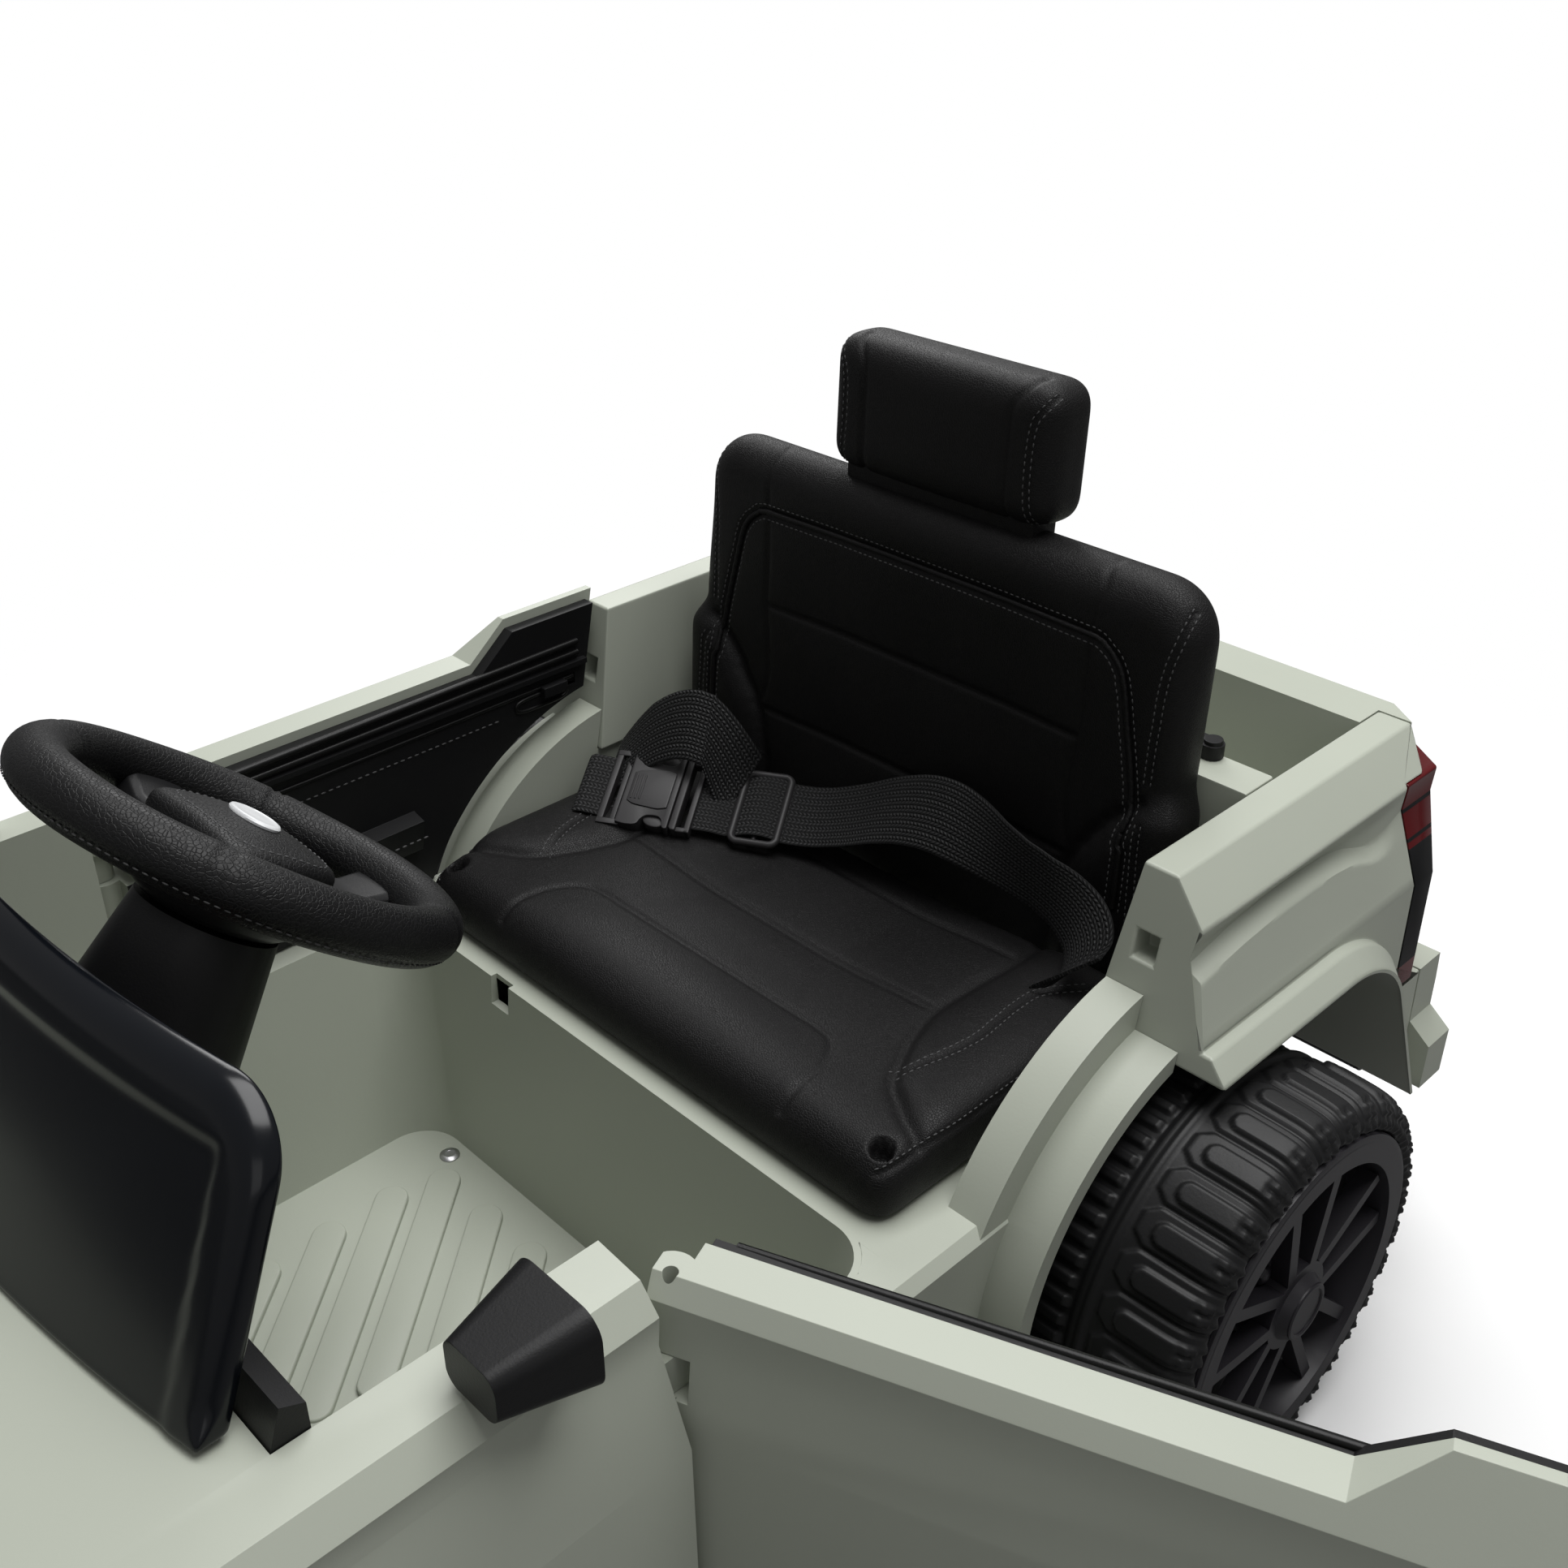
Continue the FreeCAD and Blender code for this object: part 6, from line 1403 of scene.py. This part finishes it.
def makeFloorRibs():
    apart = floorRibs["apart"]
    ends = [(-108 + apart * i, 100) for i in range(5)] + [(-116, 73 - apart * i) for i in range(3)]
    ribs = [(ribOutline(x, y), floorRibs["low"], floorRibs["high"]) for x, y in ends]
    rideWith(plates("floorRibs", ribs, asDrawn, finish["tub"], floorRibs["edge"]), "car")


def makeFloorScrew():
    mesh = turnedMesh("floorScrew", floorScrew["profile"], 24, lambda p: asDrawn(p + np.array(floorScrew["place"])))
    rideWith(objectFrom("floorScrew0", mesh, finish["steel"]), "car")


rideWith(plates("sillCorners", pairOf(sillCorner), asDrawn, finish["tub"], 0.2, 1), "car")
rideWith(plates("bedFeet", pairOf(bedFoot), asDrawn, finish["sage"], 0.2, 1), "car")
neck = (headNeck["outline"], headNeck["low"], headNeck["high"])
rideWith(plates("headrestNeck", [neck], placeBack, finish["leather"], 2.0, 2), "car")
makeFloorRibs()
makeFloorScrew()
print("floor ribs and fillers made")


# every other CAD node keeps its own shape with softened edges

flank = {"crease": [(265, 220), (283, 222), (309, 225), (341, 227), (364, 227), (385, 226), (400, 224), (412, 220),
                    (425, 214), (439, 206), (455, 195)],
         "topZ": 238.5, "lowZ": 196.0, "midZ": 226.0, "rowStep": 1.5, "columnStep": 6.0, "frontY": 270.0, "rearY": 446.0,
         "fadeFrom": 408.0, "depth": 6.0, "ledge": 4.5, "swell": 0.05, "facing": 0.85, "wallX": (205, 223), "wallZ": 190,
         "sideZ": (191, 227, 240), "sideX": (224, 210, 211)}


def flankFaces(bm):
    faces = []
    for face in bm.faces:
        middle = face.calc_center_median() / mm
        onWall = flank["wallX"][0] < abs(middle.x) < flank["wallX"][1] and middle.z > flank["wallZ"]
        if abs(face.normal.x) > flank["facing"] and onWall:
            faces.append(face)
    return faces


def flankPlace(co):
    x, y, z = co / mm
    low, top = flank["lowZ"], flank["topZ"]
    line = np.interp(y, *np.array(flank["crease"], float).T)
    row = float(np.interp(z, (low, flank["midZ"], top), (low, line, top)))
    base = float(np.interp(row, flank["sideZ"], flank["sideX"]))
    under = flank["depth"] * (1 - np.clip((row - line) / (top - line), 0, 1))
    proud = flank["swell"] * (row - low)
    shift = proud + (-under - proud) * smoothStep(line - flank["ledge"], line, row)
    return mm * Vector((math.copysign(base + float(shift), x), y, row))


def sculptFlank(obj):  # the crease that sweeps back along the quarter and dies out before the lamp
    cuts = [((0, 0, z * mm), (0, 0, 1)) for z in np.arange(flank["lowZ"], flank["topZ"], flank["rowStep"])]
    cuts += [((0, y * mm, 0), (0, 1, 0)) for y in np.arange(flank["frontY"], flank["rearY"], flank["columnStep"])]
    with editing(obj.data) as bm:
        for place, normal in cuts:
            faces = flankFaces(bm)
            geom = set(faces) | {e for f in faces for e in f.edges} | {v for f in faces for v in f.verts}
            bmesh.ops.bisect_plane(bm, geom=list(geom), plane_co=place, plane_no=normal)
        for vert in {v for f in flankFaces(bm) for v in f.verts}:
            if flank["lowZ"] < (vert.co / mm).z < flank["topZ"]:
                fade = 1 - smoothStep(flank["fadeFrom"], flank["rearY"], (vert.co / mm).y)
                vert.co = vert.co.lerp(flankPlace(vert.co), float(fade))


lampTrim = {"lowZ": 142.0, "highZ": 208.0, "edgeX": 207.0, "lines": (212.0, 226.0), "lineHalf": 0.9}


def paintDishShade(obj):  # painted shade: the floor of the dish behind the spokes gets the near-black unlit finish
    obj.data.materials.append(finish["deep"])
    for face in obj.data.polygons:
        if abs(face.center.x) < (wheel["centreX"] + wheel["dishFloor"]) * mm:
            face.material_index = 1


def divideLamp(obj):  # a dark inset and dark lines across the red lens
    side = 1 if obj.data.vertices[0].co.x > 0 else -1
    half = lampTrim["lineHalf"]
    levels = [lampTrim["lowZ"], lampTrim["highZ"]] + [z + d for z in lampTrim["lines"] for d in (-half, half)]
    cuts = [((0, 0, z * mm), (0, 0, 1)) for z in levels] + [((side * lampTrim["edgeX"] * mm, 0, 0), (1, 0, 0))]
    with editing(obj.data) as bm:
        for place, normal in cuts:
            bmesh.ops.bisect_plane(bm, geom=bm.verts[:] + bm.edges[:] + bm.faces[:], plane_co=place, plane_no=normal)
        for face in bm.faces:
            middle = face.calc_center_median() / mm
            inset = lampTrim["lowZ"] < middle.z < lampTrim["highZ"] and abs(middle.x) > lampTrim["edgeX"]
            line = any(abs(middle.z - z) < half for z in lampTrim["lines"])
            face.material_index = 1 if inset or line else 0
    obj.data.materials.append(finish["deep"])


madeAbove = {"seat_cushion", "seat_backrest", "headrest", "belt_near", "belt_far", "steering_wheel", "horn_pad",
             "buckle_socket", "buckle_plug", "tri_glide", "windshield"} | {"tyre_" + label for label in wheelPlaces}
for node in frame["nodes"]:
    if node not in madeAbove:
        piece = dressNode(node)
        if node.startswith("rim_"):
            # painted shade in the recessed dish of the rim
            paintDishShade(piece)
        if node.startswith("tail_lamp_"):
            divideLamp(piece)
print("CAD pieces dressed")


# floor, light and camera

studio = {"floorShade": 0.86, "floorBounce": 0.2, "floorReach": 25.0, "whiteFrom": 0.55, "whiteTo": 1.15,
          "skyStrength": 0.24}
lamps = {
    "keyBox": {"place": (0.15, 0.55, 2.3), "target": (0, 0.1, 0.1), "power": 62.0, "width": 2.2, "height": 1.6},
    "backBox": {"place": (-1.6, 1.5, 1.5), "target": (0, 0.25, 0.25), "power": 16.0, "width": 1.2, "height": 0.9},
    "fillBox": {"place": (1.8, -1.2, 1.2), "target": (0, 0.2, 0.15), "power": 2.5, "width": 1.4, "height": 1.0},
}
view = {"place": (0.506, -0.250, 0.648), "azimuth": 45.75, "elevation": 30.21,
        "focalPixels": 2121.0, "imagePixels": 1932.0, "sensor": 36.0}


def makeFloor():  # pale round the car, plain white to the eye further off
    mesh = bpy.data.meshes.new("studioFloor")
    reach = studio["floorReach"]
    corners = [(-reach, -reach, groundZ), (reach, -reach, groundZ), (reach, reach, groundZ), (-reach, reach, groundZ)]
    mesh.from_pydata(corners, [], [(0, 1, 2, 3)])
    material, tree, shader = newMaterial("paleFloor")
    path = tree.nodes.new("ShaderNodeLightPath")
    bounce, shade = (studio["floorBounce"],) * 3, (studio["floorShade"],) * 3
    tree.links.new(rampNode(tree, path.outputs["Is Camera Ray"], 0.0, 1.0, bounce, shade), shader.inputs["Base Color"])
    shader.inputs["Roughness"].default_value = 0.9
    shader.inputs["Specular IOR Level"].default_value = 0.0
    far = tree.nodes.new("ShaderNodeVectorMath")
    far.operation = "LENGTH"
    tree.links.new(tree.nodes.new("ShaderNodeTexCoord").outputs["Object"], far.inputs[0])
    fade = tree.nodes.new("ShaderNodeMapRange")
    fade.interpolation_type = "SMOOTHSTEP"
    fade.inputs["From Min"].default_value = studio["whiteFrom"]
    fade.inputs["From Max"].default_value = studio["whiteTo"]
    tree.links.new(far.outputs["Value"], fade.inputs["Value"])
    glow = tree.nodes.new("ShaderNodeEmission")
    mix = tree.nodes.new("ShaderNodeMixShader")
    tree.links.new(mathNode(tree, "MULTIPLY", fade.outputs["Result"], path.outputs["Is Camera Ray"]), mix.inputs["Fac"])
    tree.links.new(shader.outputs["BSDF"], mix.inputs[1])
    tree.links.new(glow.outputs["Emission"], mix.inputs[2])
    tree.links.new(mix.outputs["Shader"], tree.nodes["Material Output"].inputs["Surface"])
    objectFrom("studioFloor", mesh, material)


def makeSky():
    world = bpy.data.worlds.new("studioSky")
    scene.world = world
    world.use_nodes = True
    tree = world.node_tree
    tree.nodes.clear()
    output = tree.nodes.new("ShaderNodeOutputWorld")
    path = tree.nodes.new("ShaderNodeLightPath")
    seen = mathNode(tree, "MAXIMUM", path.outputs["Is Camera Ray"], path.outputs["Is Transmission Ray"])
    strength = tree.nodes.new("ShaderNodeMapRange")
    strength.inputs["To Min"].default_value = studio["skyStrength"]
    strength.inputs["To Max"].default_value = 1.0
    tree.links.new(seen, strength.inputs["Value"])
    background = tree.nodes.new("ShaderNodeBackground")
    background.inputs["Color"].default_value = (1, 1, 1, 1)
    tree.links.new(strength.outputs["Result"], background.inputs["Strength"])
    tree.links.new(background.outputs["Background"], output.inputs["Surface"])


def makeLamp(name, place, target, power, width, height):
    data = bpy.data.lights.new(name, "AREA")
    data.shape = "RECTANGLE"
    data.size = width
    data.size_y = height
    data.energy = power
    lamp = bpy.data.objects.new(name, data)
    lamp.location = place
    lamp.rotation_euler = (Vector(target) - Vector(place)).to_track_quat("-Z", "Y").to_euler()
    scene.collection.objects.link(lamp)


def makeCamera():
    data = bpy.data.cameras.new("photoCamera")
    data.sensor_width = view["sensor"]
    data.lens = view["focalPixels"] / view["imagePixels"] * data.sensor_width
    data.clip_start = 0.01
    camera = bpy.data.objects.new("photoCamera", data)
    camera.location = view["place"]
    camera.rotation_euler = (math.radians(90 - view["elevation"]), 0, math.radians(view["azimuth"]))
    scene.collection.objects.link(camera)
    scene.camera = camera


makeFloor()
makeSky()
for lampName, lampSettings in lamps.items():
    makeLamp(lampName, **lampSettings)
makeCamera()
print("stage set")
